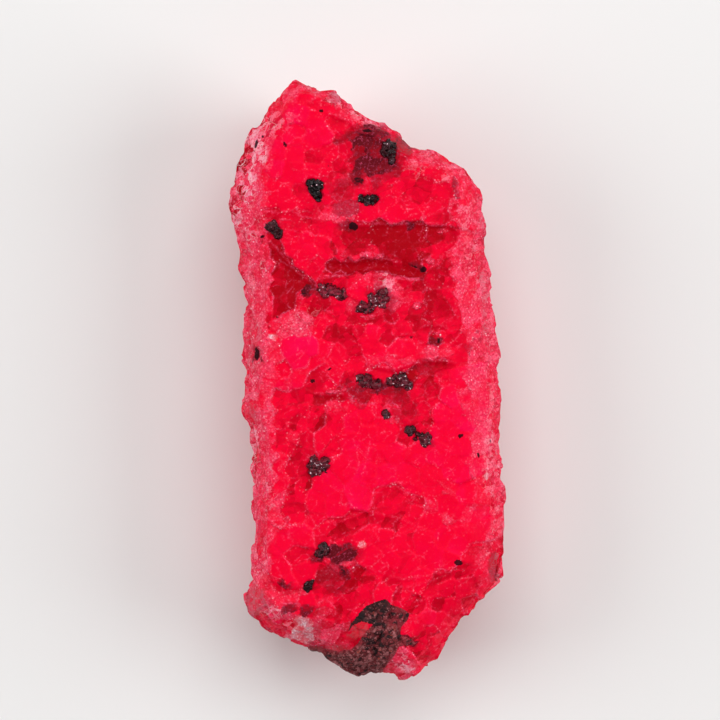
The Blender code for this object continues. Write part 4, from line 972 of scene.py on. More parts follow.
    def ledges(self, plan: Array) -> tuple[Array, Array, Array]:
        """What the ledges do to the front.

        Args:
            plan: Plan positions as rows.

        Returns:
            The lift, the painted shade in the hollows below the ledges, and the share of frosted lip with
            painted highlight at each point.
        """
        lift = np.zeros(len(plan))
        tone = np.zeros(len(plan))
        lip = np.zeros(len(plan))
        for ledge in LEDGES:
            away, low_side, along = follow_path(np.array(ledge.path), plan)
            taper = smooth_step(0.0, 0.14, along) * smooth_step(0.0, 0.14, 1.0 - along)
            hollow = smooth_step(0.0, self.ledge_face, away)
            hollow *= smooth_step(ledge.reach, 0.15 * ledge.reach, away)
            crest = 0.08 * smooth_step(0.7, 0.0, away)
            lift += self.ledge_drop * ledge.drop * taper * np.where(low_side, -hollow, crest)
            # Painted shade: the tone darkens in the hollow on the low side.
            tone -= ledge.shade * taper * np.where(low_side, hollow, 0.0)
            # Painted highlight along the frosted lip of the ledge.
            lip = np.maximum(lip, 0.7 * ledge.glint * taper * smooth_step(self.lip_width, 0.03, away))
        return lift, tone, lip

    def press_seats(self, plan: Array) -> Array:
        """How far the front is sunk for the dark grains.

        Args:
            plan: Plan positions as rows.

        Returns:
            Depth of the pockets at each point.
        """
        depth = np.zeros(len(plan))
        for grain in GRAINS:
            for x, y, radius in grain.lobes:
                away = np.hypot(plan[:, 0] - x, plan[:, 1] - y)
                bowl = self.pocket_depth * radius * smooth_step(radius * 1.22, radius * 0.75, away)
                depth = np.maximum(depth, bowl)
        return depth

    def read_skin(self, mesh: Mesh) -> Skin:
        """Read the blank's surface and lay facets, chips and slabs over it.

        Args:
            mesh: Mesh of the blank.

        Returns:
            The surface, still in its first shape.
        """
        points = read_rows(mesh.vertices, "co")
        facing = read_rows(mesh.vertex_normals, "vector")
        bent = points.copy()
        for axis in (0, 1):
            moved = points + 9.0 * axis
            bent[:, axis] += 0.1 * self.noise.at(moved, 1.8) + 0.05 * self.noise.layered(moved, 0.5, 2)
        level = smooth_step(*self.front_levels, points[:, 2])
        return Skin(
            points,
            facing,
            bent,
            front=smooth_step(*self.front_slopes, facing[:, 2]) * level,
            held=np.interp(self.turn(points), self.bands[:, 0], self.bands[:, 3]),
            facets=grow_cells(bent[:, :2], self.table[:, :2], self.table[:, 2]),
            chips=self.chips(points, bent, self.chip_size),
            slabs=self.chips(points, bent, self.slab_size),
        )

    def front_colour(self, skin: Skin) -> tuple[Array, Array]:
        """Work out the colour of the facets.

        Args:
            skin: The surface in its first shape.

        Returns:
            The tone and the frost of the front at each point.
        """
        tone = self.tone_gain * skin.facets.spread(self.table[:, 3], 0.05)
        frost = skin.facets.spread(self.table[:, 4], 0.12)
        shoulder = skin.held * self.broken_shoulder(skin.facing[:, 2], skin.chips.cells)
        frost = np.maximum(frost, self.shoulder_frost * shoulder)
        return np.maximum(tone, -1.7 * (1.0 - shoulder)), frost

    def press_front(self, skin: Skin, frost: Array) -> tuple[Array, Array]:
        """Press the facets, ledges, chips and pockets into the front.

        Args:
            skin: The surface, moved in place.
            frost: Share of frost at each point.

        Returns:
            The painted shade in the ledges' hollows and their share of frosted lip with painted highlight.
        """
        points = skin.points
        share = smooth_step(9.5, 14.6, points[:, 2]) * smooth_step(0.0, 0.2, skin.facing[:, 2])
        tilt = self.draw(7, self.facet_tilt, 2)
        relief = chip_rise(skin.facets, skin.bent[:, :2], self.table[:, :2], self.table[:, 3], tilt, 0.07)
        crown = -self.crown * points[:, 0] ** 2
        grain = 0.03 * self.noise.layered(points, 0.55, 2) * (0.35 + frost)
        nearly = points[:, :2] + 0.3 * (skin.bent - points)[:, :2]
        step, shade, lip = self.ledges(nearly)
        points[:, 2] += share * (self.facet_rise * relief + crown + step + grain)
        points[:, 2] += skin.front * skin.chips.rise * (0.25 + 0.6 * frost)
        points[:, 2] -= skin.front * self.press_seats(points[:, :2])
        return shade, lip

    def roughen_sides(self, skin: Skin) -> Array:
        """Raise the lumps, chips and slabs of the sides.

        Args:
            skin: The surface, moved in place.

        Returns:
            Share of the sides below the widest line at each point.
        """
        points = skin.points
        tip = skin.facing[:, 2]
        side = (1.0 - skin.front) * smooth_step(0.3, 2.5, points[:, 2])
        slope = 0.4 + 0.6 * smooth_step(0.1, 0.45, np.abs(tip))
        lumps = 0.14 * self.noise.at(points, 2.6) + 0.09 * self.noise.at(points + 5.0, 1.1)
        fine = 0.05 * self.noise.layered(points, 0.7, 2)
        below = side * smooth_step(-0.08, -0.32, tip)
        rise = side * (slope * lumps + self.side_chips * skin.chips.rise + fine)
        rise += self.side_slabs * below * skin.slabs.rise
        points += skin.facing * rise[:, None]
        return below

    def band_colour(self, skin: Skin, below: Array) -> tuple[Array, Array]:
        """Work out the colour of the bands and the sides.

        Args:
            skin: The surface in its last shape.
            below: Share of the sides below the widest line.

        Returns:
            The tone and the frost at each point.
        """
        points = skin.points
        frost = self.band_frost + 0.16 * self.noise.at(points, 3.0)
        frost += 0.08 * smooth_step(0.0, 4.0, points[:, 0])
        frost *= 0.2 + 0.8 * skin.held
        frost += 0.8 * below * skin.slabs.tone
        tone = self.band_tone - 0.45 * (1.0 - skin.held) + 0.45 * skin.chips.tone
        tone += 0.1 * self.noise.at(points + 3.0, 5.0)
        tone += 1.8 * below * skin.slabs.tone
        return tone, frost

    def draw_borders(self, skin: Skin, below: Array, lip: Array) -> None:
        """Keep masks of the pale lines along facets, slabs and chips and of the painted sparkle near them.

        Args:
            skin: The surface in its last shape.
            below: Share of the sides below the widest line.
            lip: Share of frosted ledge lip with its painted highlight.
        """
        points = skin.points
        facets = skin.facets
        contrast = np.abs(self.table[facets.owner, 3] - self.table[facets.neighbour, 3])
        edge = smooth_step(0.11, 0.02, facets.border) * smooth_step(-0.6, 0.3, self.noise.at(points, 1.1))
        edge *= 0.08 + 0.92 * smooth_step(0.06, 0.4, contrast)
        edge = np.maximum(edge, 0.8 * below * smooth_step(0.14, 0.04, skin.slabs.cells.border))
        thin = smooth_step(0.07, 0.02, skin.chips.cells.border)
        thin *= smooth_step(0.1, 0.6, self.noise.at(points + 11.0, 0.9))
        lip = lip * smooth_step(-0.7, 0.2, self.noise.at(points + 8.0, 0.8))
        # The lip's painted highlight joins the pale border lines.
        edge = np.maximum(0.8 * edge, lip)
        near = smooth_step(0.4, 0.05, facets.border) * smooth_step(0.02, 0.3, contrast)
        near *= smooth_step(-0.5, 0.5, self.noise.at(points + 15.0, 1.5))
        skin.masks["border"] = np.clip(edge + self.hairline * thin, 0.0, 1.0)
        skin.masks["near"] = skin.front * np.maximum(near, lip)

    def shape(self, item: Item) -> None:
        """Press the facets, chips, lumps and pockets and store the masks.

        Args:
            item: The blank to shape.
        """
        mesh = item.data
        skin = self.read_skin(mesh)
        tone, frost = self.front_colour(skin)
        shade, lip = self.press_front(skin, frost)
        below = self.roughen_sides(skin)
        write_points(mesh, skin.points)
        # The ledges' painted shade darkens the tone in their hollows.
        tone = tone + 0.3 * skin.chips.tone + self.tone_drift(skin) + shade
        band_tone, band_frost = self.band_colour(skin, below)
        skin.mix("tone", tone, band_tone)
        self.draw_borders(skin, below, lip)
        skin.masks["front"] = skin.front
        skin.mix(Mark.FROST.value, frost, band_frost)
        self.lay_marks(skin)
        for name, mask in skin.masks.items():
            write_mask(mesh, name, mask)

    @staticmethod
    def broken_shoulder(slope: Array, cells: Cells) -> Array:
        """Share of the slanted bands, broken off along the small chips.

        Args:
            slope: Upward part of the surface direction at each point.
            cells: Chip cells of the points.

        Returns:
            Zero on the flat front and one on the bands.
        """
        most = int(cells.neighbour.max()) + 1
        total = np.bincount(cells.owner, weights=slope, minlength=most)
        mean = total / np.maximum(np.bincount(cells.owner, minlength=most), 1)
        return smooth_step(0.985, 0.87, 0.3 * slope + 0.7 * cells.spread(mean, 0.1))

    def draw(self, offset: int, span: float, *shape: int) -> Array:
        """Draw random values for each facet, evenly from -span to span."""
        return np.random.default_rng(self.seed + offset).uniform(-span, span, (len(self.table), *shape))

    def tone_drift(self, skin: Skin) -> Array:
        """Change of tone from facet to facet, and across each from one side to the other.

        Args:
            skin: The surface in its last shape.

        Returns:
            Tone to add at each point.
        """
        slopes = self.draw(4, self.tone_slope, 2)
        level = np.zeros(len(self.table))
        drift = chip_rise(skin.facets, skin.points[:, :2], self.table[:, :2], level, slopes, 0.12)
        return drift + skin.facets.spread(self.draw(9, self.tone_jitter), 0.05)

    def chips(self, points: Array, bent: Array, size: float) -> ChipLayer:
        """Flat chips at random tilts over the whole surface.

        Args:
            points: Positions as rows.
            bent: The same positions, bent so that borders waver.
            size: Usual width of a chip.

        Returns:
            The layer of chips.
        """
        choice = np.random.default_rng(self.seed + 2)
        picked = choice.random(len(points)) < (self.skin_step / size) ** 2
        seeds = points[picked]
        count = len(seeds)
        rise = choice.uniform(-0.07, 0.05, count) * size
        tilt = choice.uniform(-0.16, 0.16, (count, 3))
        tone = choice.uniform(-0.3, 0.3, count)
        cells = grow_cells(bent, seeds, np.zeros(count))
        return ChipLayer(cells, chip_rise(cells, bent, seeds, rise, tilt, 0.12), cells.spread(tone, 0.12))

    def lay_marks(self, skin: Skin) -> None:
        """Keep masks of the listed marks, most of them broken off along small chips.

        Args:
            skin: The surface in its last shape.
        """
        points = skin.points
        upper = smooth_step(8.5, 12.0, points[:, 2])
        bent = points + 0.12 * self.noise.at(points + 6.0, 0.6)[:, None]
        snapped = 0.3 * points + 0.7 * self.noise.nearest_seed(bent, 0.6)
        even = 0.5 * self.noise.layered(points + 4.0, 0.4, 2)
        broken = 0.25 * self.noise.at(snapped, 0.9)
        for kind, rows in MARKS.items():
            place, waver = (points, even) if kind in (Mark.SPECK, Mark.FROST) else (snapped, broken)
            mask = np.zeros(len(points))
            for x, y, wide, long, turn, strength in rows:
                angle = math.radians(turn)
                across = place[:, 0] - x
                along = place[:, 1] - y
                u = (across * math.cos(angle) + along * math.sin(angle)) / wide
                v = (-across * math.sin(angle) + along * math.cos(angle)) / long
                mask = np.maximum(mask, strength * smooth_step(1.2, 0.85, np.hypot(u, v) + waver))
            given = skin.masks.get(kind.value, 0.0)
            skin.masks[kind.value] = np.maximum(given, mask * upper)

    @staticmethod
    def level_back(item: Item) -> None:
        """Cut the back off level at the resting height and close it.

        Args:
            item: The shaped crystal.
        """
        work = bmesh.new()
        work.from_mesh(item.data)
        cut = bmesh.ops.bisect_plane(
            work,
            geom=work.verts[:] + work.edges[:] + work.faces[:],
            dist=0.0005,
            plane_co=(0.0, 0.0, 0.0),
            plane_no=(0.0, 0.0, -1.0),
            clear_outer=True,
        )
        rim = [part for part in cut["geom_cut"] if isinstance(part, bmesh.types.BMEdge)]
        bmesh.ops.holes_fill(work, edges=rim, sides=0)
        work.to_mesh(item.data)
        work.free()

    def thin_sides(self, item: Item) -> None:
        """Merge faces away from the front until the crystal is within its face count.

        Args:
            item: The shaped crystal.
        """
        mesh = item.data
        mesh.calc_loop_triangles()
        total = len(mesh.loop_triangles)
        if total <= self.most_faces:
            return
        front = np.empty(len(mesh.vertices))
        mesh.attributes["front"].data.foreach_get("value", front)
        settings = {"invert_vertex_group": True, "use_collapse_triangulate": True}
        modify_part(item, front > 0.3, "DECIMATE", ratio=self.most_faces / total, **settings)

    def build(self) -> Item:
        """Make the crystal.

        Returns:
            The crystal's object, still in millimetres and undressed.
        """
        item = self.blank()
        self.shape(item)
        self.level_back(item)
        self.thin_sides(item)
        return item

    def dress(self, item: Item, material: Material) -> None:
        """Bring the crystal to its real size and cover it, once the grains and matrix sit on it."""
        finish_mesh(item, material)


@dataclass
class DarkGrains:
    """The black mineral grains set in the front of the crystal."""

    skin_step: float = 0.06
    chip_size: float = 0.4
    chip_rise: float = 0.06
    chip_tilt: float = 0.85
    lift: float = 0.2
    swell: float = 1.12
    ray_height: float = 30.0
    seed: int = 5

    def centre_height(self, crystal: Item, x: float, y: float, radius: float) -> float:
        """Height of a lobe's centre so that it sits in its pocket.

        Args:
            crystal: The finished crystal, in millimetres.
            x: Plan place of the lobe.
            y: Plan place of the lobe.
            radius: Radius of the lobe.

        Returns:
            Height of the centre.
        """
        hit, place, _, _ = crystal.ray_cast(Vector((x, y, self.ray_height)), Vector((0.0, 0.0, -1.0)))
        return place.z + self.lift * radius if hit else 0.0

    def build_one(self, grain: Grain, crystal: Item, material: Material) -> Item:
        """Make one grain as a cluster of chipped lobes.

        Args:
            grain: The grain to make.
            crystal: The crystal it sits in.
            material: Finish of the grain.

        Returns:
            The grain's object, in metres.
        """
        work = bmesh.new()
        for x, y, radius in grain.lobes:
            height = self.centre_height(crystal, x, y, radius)
            bmesh.ops.create_icosphere(
                work,
                subdivisions=2,
                radius=(self.swell + 0.2 * grain.veil) * radius,
                matrix=Matrix.Translation((x, y, height)),
            )
        item = add_object(f"{grain.node}_look", work)
        modify(item, "REMESH", mode="VOXEL", voxel_size=self.skin_step)
        self.chip(item.data)
        write_mask(item.data, "veil", np.full(len(item.data.vertices), grain.veil))
        finish_mesh(item, material)
        return item

    def chip(self, mesh: Mesh) -> None:
        """Break the smooth lobes into small flat crystal faces.

        Args:
            mesh: Mesh of one grain.
        """
        points = read_rows(mesh.vertices, "co")
        facing = read_rows(mesh.vertex_normals, "vector")
        choice = np.random.default_rng(self.seed)
        picked = choice.random(len(points)) < (self.skin_step / self.chip_size) ** 2
        seeds = points[picked]
        count = len(seeds)
        cells = grow_cells(points, seeds, np.zeros(count))
        rise = choice.uniform(-self.chip_rise, self.chip_rise, count)
        tilt = choice.uniform(-self.chip_tilt, self.chip_tilt, (count, 3))
        lift = chip_rise(cells, points, seeds, rise, tilt, 0.02)
        lift += 0.02 * LatticeNoise(self.seed).layered(points, 0.3, 2)
        write_points(mesh, points + facing * lift[:, None])
        write_mask(mesh, "chip", choice.random(count)[cells.owner])

    def build(self, crystal: Item, material: Material) -> dict[str, Item]:
        """Make every grain.

        Args:
            crystal: The crystal they sit in.
            material: Finish of the grains.

        Returns:
            The grains by node name.
        """
        return {grain.node: self.build_one(grain, crystal, material) for grain in GRAINS}


@dataclass
class MatrixRemnant:
    """The crumbly dark matrix left at the foot of the crystal."""

    lowest: float = 9.2
    depth: float = 0.3
    granule: float = 0.3
    face_step: float = 0.065
    ragged: float = 0.14
    seed: int = 11

    def inside_depth(self, plan: Array) -> Array:
        """Distance of plan points from the remnant's outline.

        Args:
            plan: Plan positions as rows.

        Returns:
            Distances, above zero inside and below zero outside.
        """
        corners = np.array(MATRIX_PLAN)
        ends = np.roll(corners, -1, axis=0)
        nearest = np.full(len(plan), np.inf)
        inside = np.zeros(len(plan), dtype=bool)
        for start, end in zip(corners, ends):
            run = end - start
            share = np.clip((plan - start) @ run / (run @ run), 0.0, 1.0)
            nearest = np.minimum(nearest, np.linalg.norm(start + share[:, None] * run - plan, axis=1))
            crosses = (start[1] > plan[:, 1]) != (end[1] > plan[:, 1])
            if start[1] != end[1]:
                at = start[0] + (plan[:, 1] - start[1]) * run[0] / run[1]
                inside ^= crosses & (plan[:, 0] < at)
        return np.where(inside, nearest, -nearest)

    def patch(self, crystal: Item) -> Item:
        """Copy the part of the crystal's skin that the matrix covers.

        Args:
            crystal: The crystal, in millimetres.

        Returns:
            The patch as an open skin of fine faces.
        """
        noise = LatticeNoise(self.seed)
        work = bmesh.new()
        work.from_mesh(crystal.data)
        centres = np.array([face.calc_center_median() for face in work.faces])
        depth = self.inside_depth(centres[:, :2]) + self.ragged * noise.layered(centres, 0.7, 2)
        keep = (depth > 0.0) & (centres[:, 2] > self.lowest)
        drop = [face for face, stays in zip(work.faces, keep) if not stays]
        bmesh.ops.delete(work, geom=drop, context="FACES")
        bmesh.ops.subdivide_edges(work, edges=work.edges[:], cuts=1, use_grid_fill=True)
        return add_object("dark_matrix_look", work)

    def crumble(self, mesh: Mesh) -> None:
        """Raise granules on the skin and store their masks.

        Args:
            mesh: Mesh of the patch.
        """
        points = read_rows(mesh.vertices, "co")
        facing = read_rows(mesh.vertex_normals, "vector")
        noise = LatticeNoise(self.seed + 1)
        choice = np.random.default_rng(self.seed)
        inside = self.inside_depth(points[:, :2])
        picked = choice.random(len(points)) < (self.face_step / self.granule) ** 2
        seeds = points[picked]
        cells = grow_cells(points, seeds, choice.uniform(0.0, 0.1, len(seeds)))
        rise = choice.uniform(0.0, 0.09, len(seeds))[cells.owner]
        dome = smooth_step(0.0, 0.12, cells.border)
        lift = 0.06 + dome * (0.04 + rise) + 0.04 * noise.layered(points, 1.2, 2)
        lift = lift * smooth_step(-0.1, 0.25, inside) - 0.04 * smooth_step(0.05, -0.1, inside)
        write_points(mesh, points + facing * lift[:, None])
        # Painted shade: a dark band inside the upper edge, where the remnant meets the crystal.
        edge = inside + 0.35 * noise.at(points, 0.8)
        high = smooth_step(-21.0, -20.0, points[:, 1])
        right = smooth_step(1.4, 2.4, points[:, 0] + 0.4 * noise.at(points + 2.0, 0.8))
        top = smooth_step(1.3, 0.1, edge) * high * (1.0 - 0.8 * right)
        write_mask(mesh, "granule", choice.random(len(seeds))[cells.owner])
        write_mask(mesh, "joint", 1.0 - smooth_step(0.0, 0.09, cells.border))
        write_mask(mesh, "black_speck_and_shade", top)
        rim = smooth_step(0.45, 0.0, inside + 0.2 * noise.at(points, 0.5))
        write_mask(mesh, "rim", np.maximum(rim, high * right))
        write_mask(mesh, "tail", smooth_step(-21.8, -23.2, points[:, 1] + 0.6 * noise.at(points + 7.0, 1.0)))

    def build(self, crystal: Item, material: Material) -> Item:
        """Make the remnant.

        Args:
            crystal: The crystal it clings to, in millimetres.
            material: Finish of the matrix.

        Returns:
            The remnant's object, in metres.
        """
        item = self.patch(crystal)
        self.crumble(item.data)
        modify(item, "SOLIDIFY", thickness=self.depth, offset=-1.0)
        finish_mesh(item, material)
        return item


Feed = float | Colour | Socket


class NodeBench:
    """Adds shader nodes to one tree and joins them."""

    def __init__(self, tree: Tree) -> None:
        """Keep the tree that nodes go into."""
        self.tree = tree

    def feed(self, socket: Socket, value: Feed) -> None:
        """Join a socket to another one, or set its plain value.

        Args:
            socket: Input to fill.
            value: Output socket, number or colour.
        """
        if isinstance(value, Socket):
            self.tree.links.new(value, socket)
        elif isinstance(value, tuple) and len(socket.default_value) == 4:
            socket.default_value = (*value, 1.0)
        else:
            socket.default_value = value

    def fill(self, node: Node, feeds: dict[str | int, Feed]) -> None:
        """Fill inputs of a node.

        Args:
            node: Node whose inputs are filled.
            feeds: Values or sockets for its named inputs.
        """
        for name, value in feeds.items():
            self.feed(node.inputs[name], value)

    def node(self, kind: str, feeds: dict[str | int, Feed] | None = None, **settings: object) -> Node:
        """Add a node.

        Args:
            kind: Blender's type name.
            feeds: Values or sockets for its named inputs.
            settings: Properties of the node.

        Returns:
            The new node.
        """
        node = self.tree.nodes.new(kind)
        for name, value in settings.items():
            setattr(node, name, value)
        self.fill(node, feeds or {})
        return node

    def sum(self, operation: str, first: Feed, second: Feed = 0.0, third: Feed = 0.0) -> Socket:
        """Work out one number from others.

        Args:
            operation: Blender's name of the operation.
            first: First number.
            second: Second number.
            third: Third number.

        Returns:
            The result.
        """
        node = self.node("ShaderNodeMath", operation=operation)
        for socket, value in zip(node.inputs, (first, second, third)):
            self.feed(socket, value)
        return node.outputs[0]

    def times(self, first: Feed, second: Feed) -> Socket:
        """Multiply two numbers."""
        return self.sum("MULTIPLY", first, second)

    def scaled(self, value: Feed, factor: Feed, base: Feed) -> Socket:
        """Multiply a number by a factor and add the base."""
        return self.sum("MULTIPLY_ADD", value, factor, base)

    def blend(self, share: Feed, first: Feed, second: Feed) -> Socket:
        """Mix two colours.

        Args:
            share: How much of the second colour.
            first: First colour.
            second: Second colour.

        Returns:
            The mixed colour.
        """
        node = self.node("ShaderNodeMix", data_type="RGBA")
        self.feed(node.inputs[0], share)
        self.feed(node.inputs[6], first)
        self.feed(node.inputs[7], second)
        return node.outputs[2]

    def ease(self, value: Feed, low: float, high: float, top: float = 1.0) -> Socket:
        """Ease a number from 0 to a top value.

        Args:
            value: Number to ease.
            low: Where the result is 0.
            high: Where the result is the top value.
            top: The top value.

        Returns:
            The eased number.
        """
        node = self.node("ShaderNodeMapRange", interpolation_type="SMOOTHSTEP")
        for name, number in zip(("Value", "From Min", "From Max", "To Max"), (value, low, high, top)):
            self.feed(node.inputs[name], number)
        return node.outputs["Result"]

    def vector(self, operation: str, first: Socket, others: dict[str | int, Feed]) -> Socket:
        """Work out one vector from others.

        Args:
            operation: Blender's name of the operation.
            first: First vector.
            others: The other inputs.

        Returns:
            The resulting vector.
        """
        return self.node("ShaderNodeVectorMath", {0: first, **others}, operation=operation).outputs["Vector"]

    def bump(self, height: Feed, distance: float, strength: float) -> Socket:
        """Turn a height into a normal.

        Args:
            height: Height that changes over the surface.
            distance: Depth of the relief, in metres.
            strength: How strongly it shows.

        Returns:
            The normal.
        """
        feeds = {"Height": height, "Distance": distance, "Strength": strength}
        return self.node("ShaderNodeBump", feeds).outputs["Normal"]

    def mask(self, name: str) -> Socket:
        """Read a mask stored on the mesh."""
        return self.node("ShaderNodeAttribute", attribute_name=name).outputs["Fac"]

    def group(self, tree: Tree, **feeds: Feed) -> Node:
        """Place a node group.

        Args:
            tree: The group's tree.
            feeds: Values for its inputs.

        Returns:
            The group's node.
        """
        node = self.node("ShaderNodeGroup")
        node.node_tree = tree
        self.fill(node, feeds)
        return node


def new_group(
    name: str, inputs: tuple[str, ...], outputs: tuple[str, ...]
) -> tuple[NodeBench, bpy.types.bpy_prop_collection, Node]:
    """Start a node group whose sockets all carry numbers.

    Args:
        name: Name of the group.
        inputs: Names of its inputs.
        outputs: Names of its outputs.

    Returns:
        A bench on the group, the sockets of its inputs, and its output node.
    """
    tree = bpy.data.node_groups.new(name, "ShaderNodeTree")
    for title in inputs:
        tree.interface.new_socket(title, in_out="INPUT", socket_type="NodeSocketFloat")
    for title in outputs:
        tree.interface.new_socket(title, in_out="OUTPUT", socket_type="NodeSocketFloat")
    bench = NodeBench(tree)
    return bench, bench.node("NodeGroupInput").outputs, bench.node("NodeGroupOutput")


def flat_place(bench: NodeBench, stretch: Colour = (1.0, 1.0, 0.7)) -> Socket:
    """Place on the object, squeezed so that patterns hold their shape on slopes.

    Args:
        bench: Bench on the tree that needs the place.
        stretch: Share kept of each direction; the plan is turned first.

    Returns:
        The squeezed place.
    """
    place = bench.node("ShaderNodeTexCoord").outputs["Object"]
    turned = bench.node("ShaderNodeMapping", {"Vector": place, "Rotation": (0.0, 0.0, -0.55)})
    return bench.vector("MULTIPLY", turned.outputs["Vector"], {1: stretch})


def bent_place(bench: NodeBench, place: Socket, size: Socket, bend: float) -> Socket:
    """Place shifted unevenly, so that cell borders are broken rather than straight.

    Args:
        bench: Bench on the tree that needs the place.
        place: Place before the shift.
        size: Size of the cells.
        bend: How far the shift reaches, against the cell size.

    Returns:
        The shifted place.
    """
    scale = bench.sum("DIVIDE", 1.1, size)
    noise = bench.node("ShaderNodeTexNoise", {"Vector": place, "Scale": scale, "Detail": 3.0})
    middle = bench.vector("SUBTRACT", noise.outputs["Color"], {1: (0.5, 0.5, 0.5)})
    shift = bench.vector("SCALE", middle, {"Scale": bench.times(size, bend)})
    return bench.vector("ADD", place, {1: shift})


def dots_group() -> Tree:
    """Tiny bright spots of differing strength, used as painted glints and as pale grains.

    Returns:
        A group with the inputs Size and Share and the output Dot.
    """
    bench, given, result = new_group("dots", ("Size", "Share"), ("Dot",))
    scale = bench.sum("DIVIDE", 1.0, given["Size"])
    place = bent_place(bench, flat_place(bench), given["Size"], 1.2)
    cells = bench.node("ShaderNodeTexVoronoi", {"Vector": place, "Scale": scale})
    value = bench.node("ShaderNodeSeparateColor", {"Color": cells.outputs["Color"]}).outputs["Red"]
    over = bench.sum("SUBTRACT", value, bench.sum("SUBTRACT", 1.0, given["Share"]))
    chosen = bench.ease(over, 0.1, 0.6)
    bench.fill(result, {"Dot": bench.times(chosen, bench.ease(cells.outputs["Distance"], 0.5, 0.15))})
    return bench.tree


def sugar_group() -> Tree:
    """Fine sugary texture, with dark pits and a height.

    Returns:
        A group with the input Size and the outputs Pit and Height.
    """
    bench, given, result = new_group("sugar", ("Size",), ("Pit", "Height"))
    scale = bench.sum("DIVIDE", 1.0, given["Size"])
    noise = bench.node(
        "ShaderNodeTexNoise", {"Vector": flat_place(bench), "Scale": scale, "Detail": 3.0, "Roughness": 0.65}
    )
    value = noise.outputs["Fac"]
    bench.fill(result, {"Pit": bench.ease(value, 0.48, 0.34), "Height": value})
    return bench.tree


def chip_group() -> Tree:
    """Two random values for each small chip, and the lines between chips.

    Returns:
        A group with the input Size and the outputs Value, Other and Line.
    """
    bench, given, result = new_group("chips", ("Size",), ("Value", "Other", "Line"))
    place = bent_place(bench, flat_place(bench, (1.0, 1.45, 0.7)), given["Size"], 0.75)
    scale = bench.sum("DIVIDE", 1.0, given["Size"])
    cells = bench.node("ShaderNodeTexVoronoi", {"Vector": place, "Scale": scale})
    edges = bench.node(
        "ShaderNodeTexVoronoi", {"Vector": place, "Scale": scale}, feature="DISTANCE_TO_EDGE"
    )
    parts = bench.node("ShaderNodeSeparateColor", {"Color": cells.outputs["Color"]})
    line = bench.ease(edges.outputs["Distance"], 0.08, 0.01)
    bench.fill(result, {"Value": parts.outputs["Red"], "Other": parts.outputs["Green"], "Line": line})
    return bench.tree


@dataclass(frozen=True)
class Effects:
    """Node groups that several finishes use."""

    sugar: Tree
    chips: Tree
    dots: Tree

    @staticmethod
    def build() -> "Effects":
        """Make the groups once."""
        return Effects(sugar_group(), chip_group(), dots_group())


def new_material(name: str) -> tuple[Material, NodeBench, Node]:
    """Start a material with its shader.

    Args:
        name: Name of the material.

    Returns:
        The material, a bench on its nodes, and its Principled shader.
    """
    material = bpy.data.materials.new(name)
    material.use_nodes = True
    bench = NodeBench(material.node_tree)
    return material, bench, material.node_tree.nodes["Principled BSDF"]


@dataclass(frozen=True)
class RubyFinish:
    """Translucent red crystal, glossy on clean facets and sugary where it is frosted."""

    deep: Colour = (0.38, 0.0002, 0.006)
    glow: Colour = (0.86, 0.0002, 0.029)
    rose: Colour = (0.91, 0.002, 0.08)
    frosted: Colour = (0.97, 0.05, 0.125)
    fleck: Colour = (1.0, 0.3, 0.42)
    # Colour of painted glints: plate rims, brightest plates, bright dots and white patches.
    painted_glint: Colour = (1.0, 0.66, 0.72)
    line: Colour = (1.0, 0.12, 0.28)
    smoke: Colour = (0.13, 0.005, 0.011)
    black_speck_and_shade: Colour = (0.02, 0.004, 0.007)
    white: Colour = (0.72, 0.3, 0.36)
    brown: Colour = (0.36, 0.075, 0.085)
    sugar_size: float = 0.0002
    cloud_size: float = 0.0009
    dot_size: float = 0.00022
    dot_share: float = 0.7
    flake_size: float = 0.0006
    shard_size: float = 0.0015
    bump_height: float = 0.00015
    specular: float = 0.025
    scatter: float = 0.2
    scatter_radius: Colour = (1.0, 0.12, 0.16)
    scatter_scale: float = 0.001

    def build(self, effects: Effects) -> Material:
        """Make the material.

        Args:
            effects: Shared node groups.

        Returns:
            The material.
        """
        material, bench, shader = new_material(Slot.RUBY.value)
        painter = RubyPainter(self, bench, effects)
        painter.paint_red()
        painter.lay_sugar()
        painter.lay_plates()
        painter.draw_seams()
        painter.lay_stains()
        height = bench.times(painter.fine, bench.scaled(painter.frost, 1.0, 0.15))
        height = bench.scaled(painter.flakes["Value"], painter.frost, height)
        bench.fill(shader, {
            "Base Color": painter.colour,
            "Roughness": bench.scaled(painter.frost, 0.3, 0.45),
            "Normal": bench.bump(height, self.bump_height, 0.8),
            "Specular IOR Level": self.specular,
            "Subsurface Weight": self.scatter,
            "Subsurface Radius": self.scatter_radius,
            "Subsurface Scale": self.scatter_scale,
        })
        return material


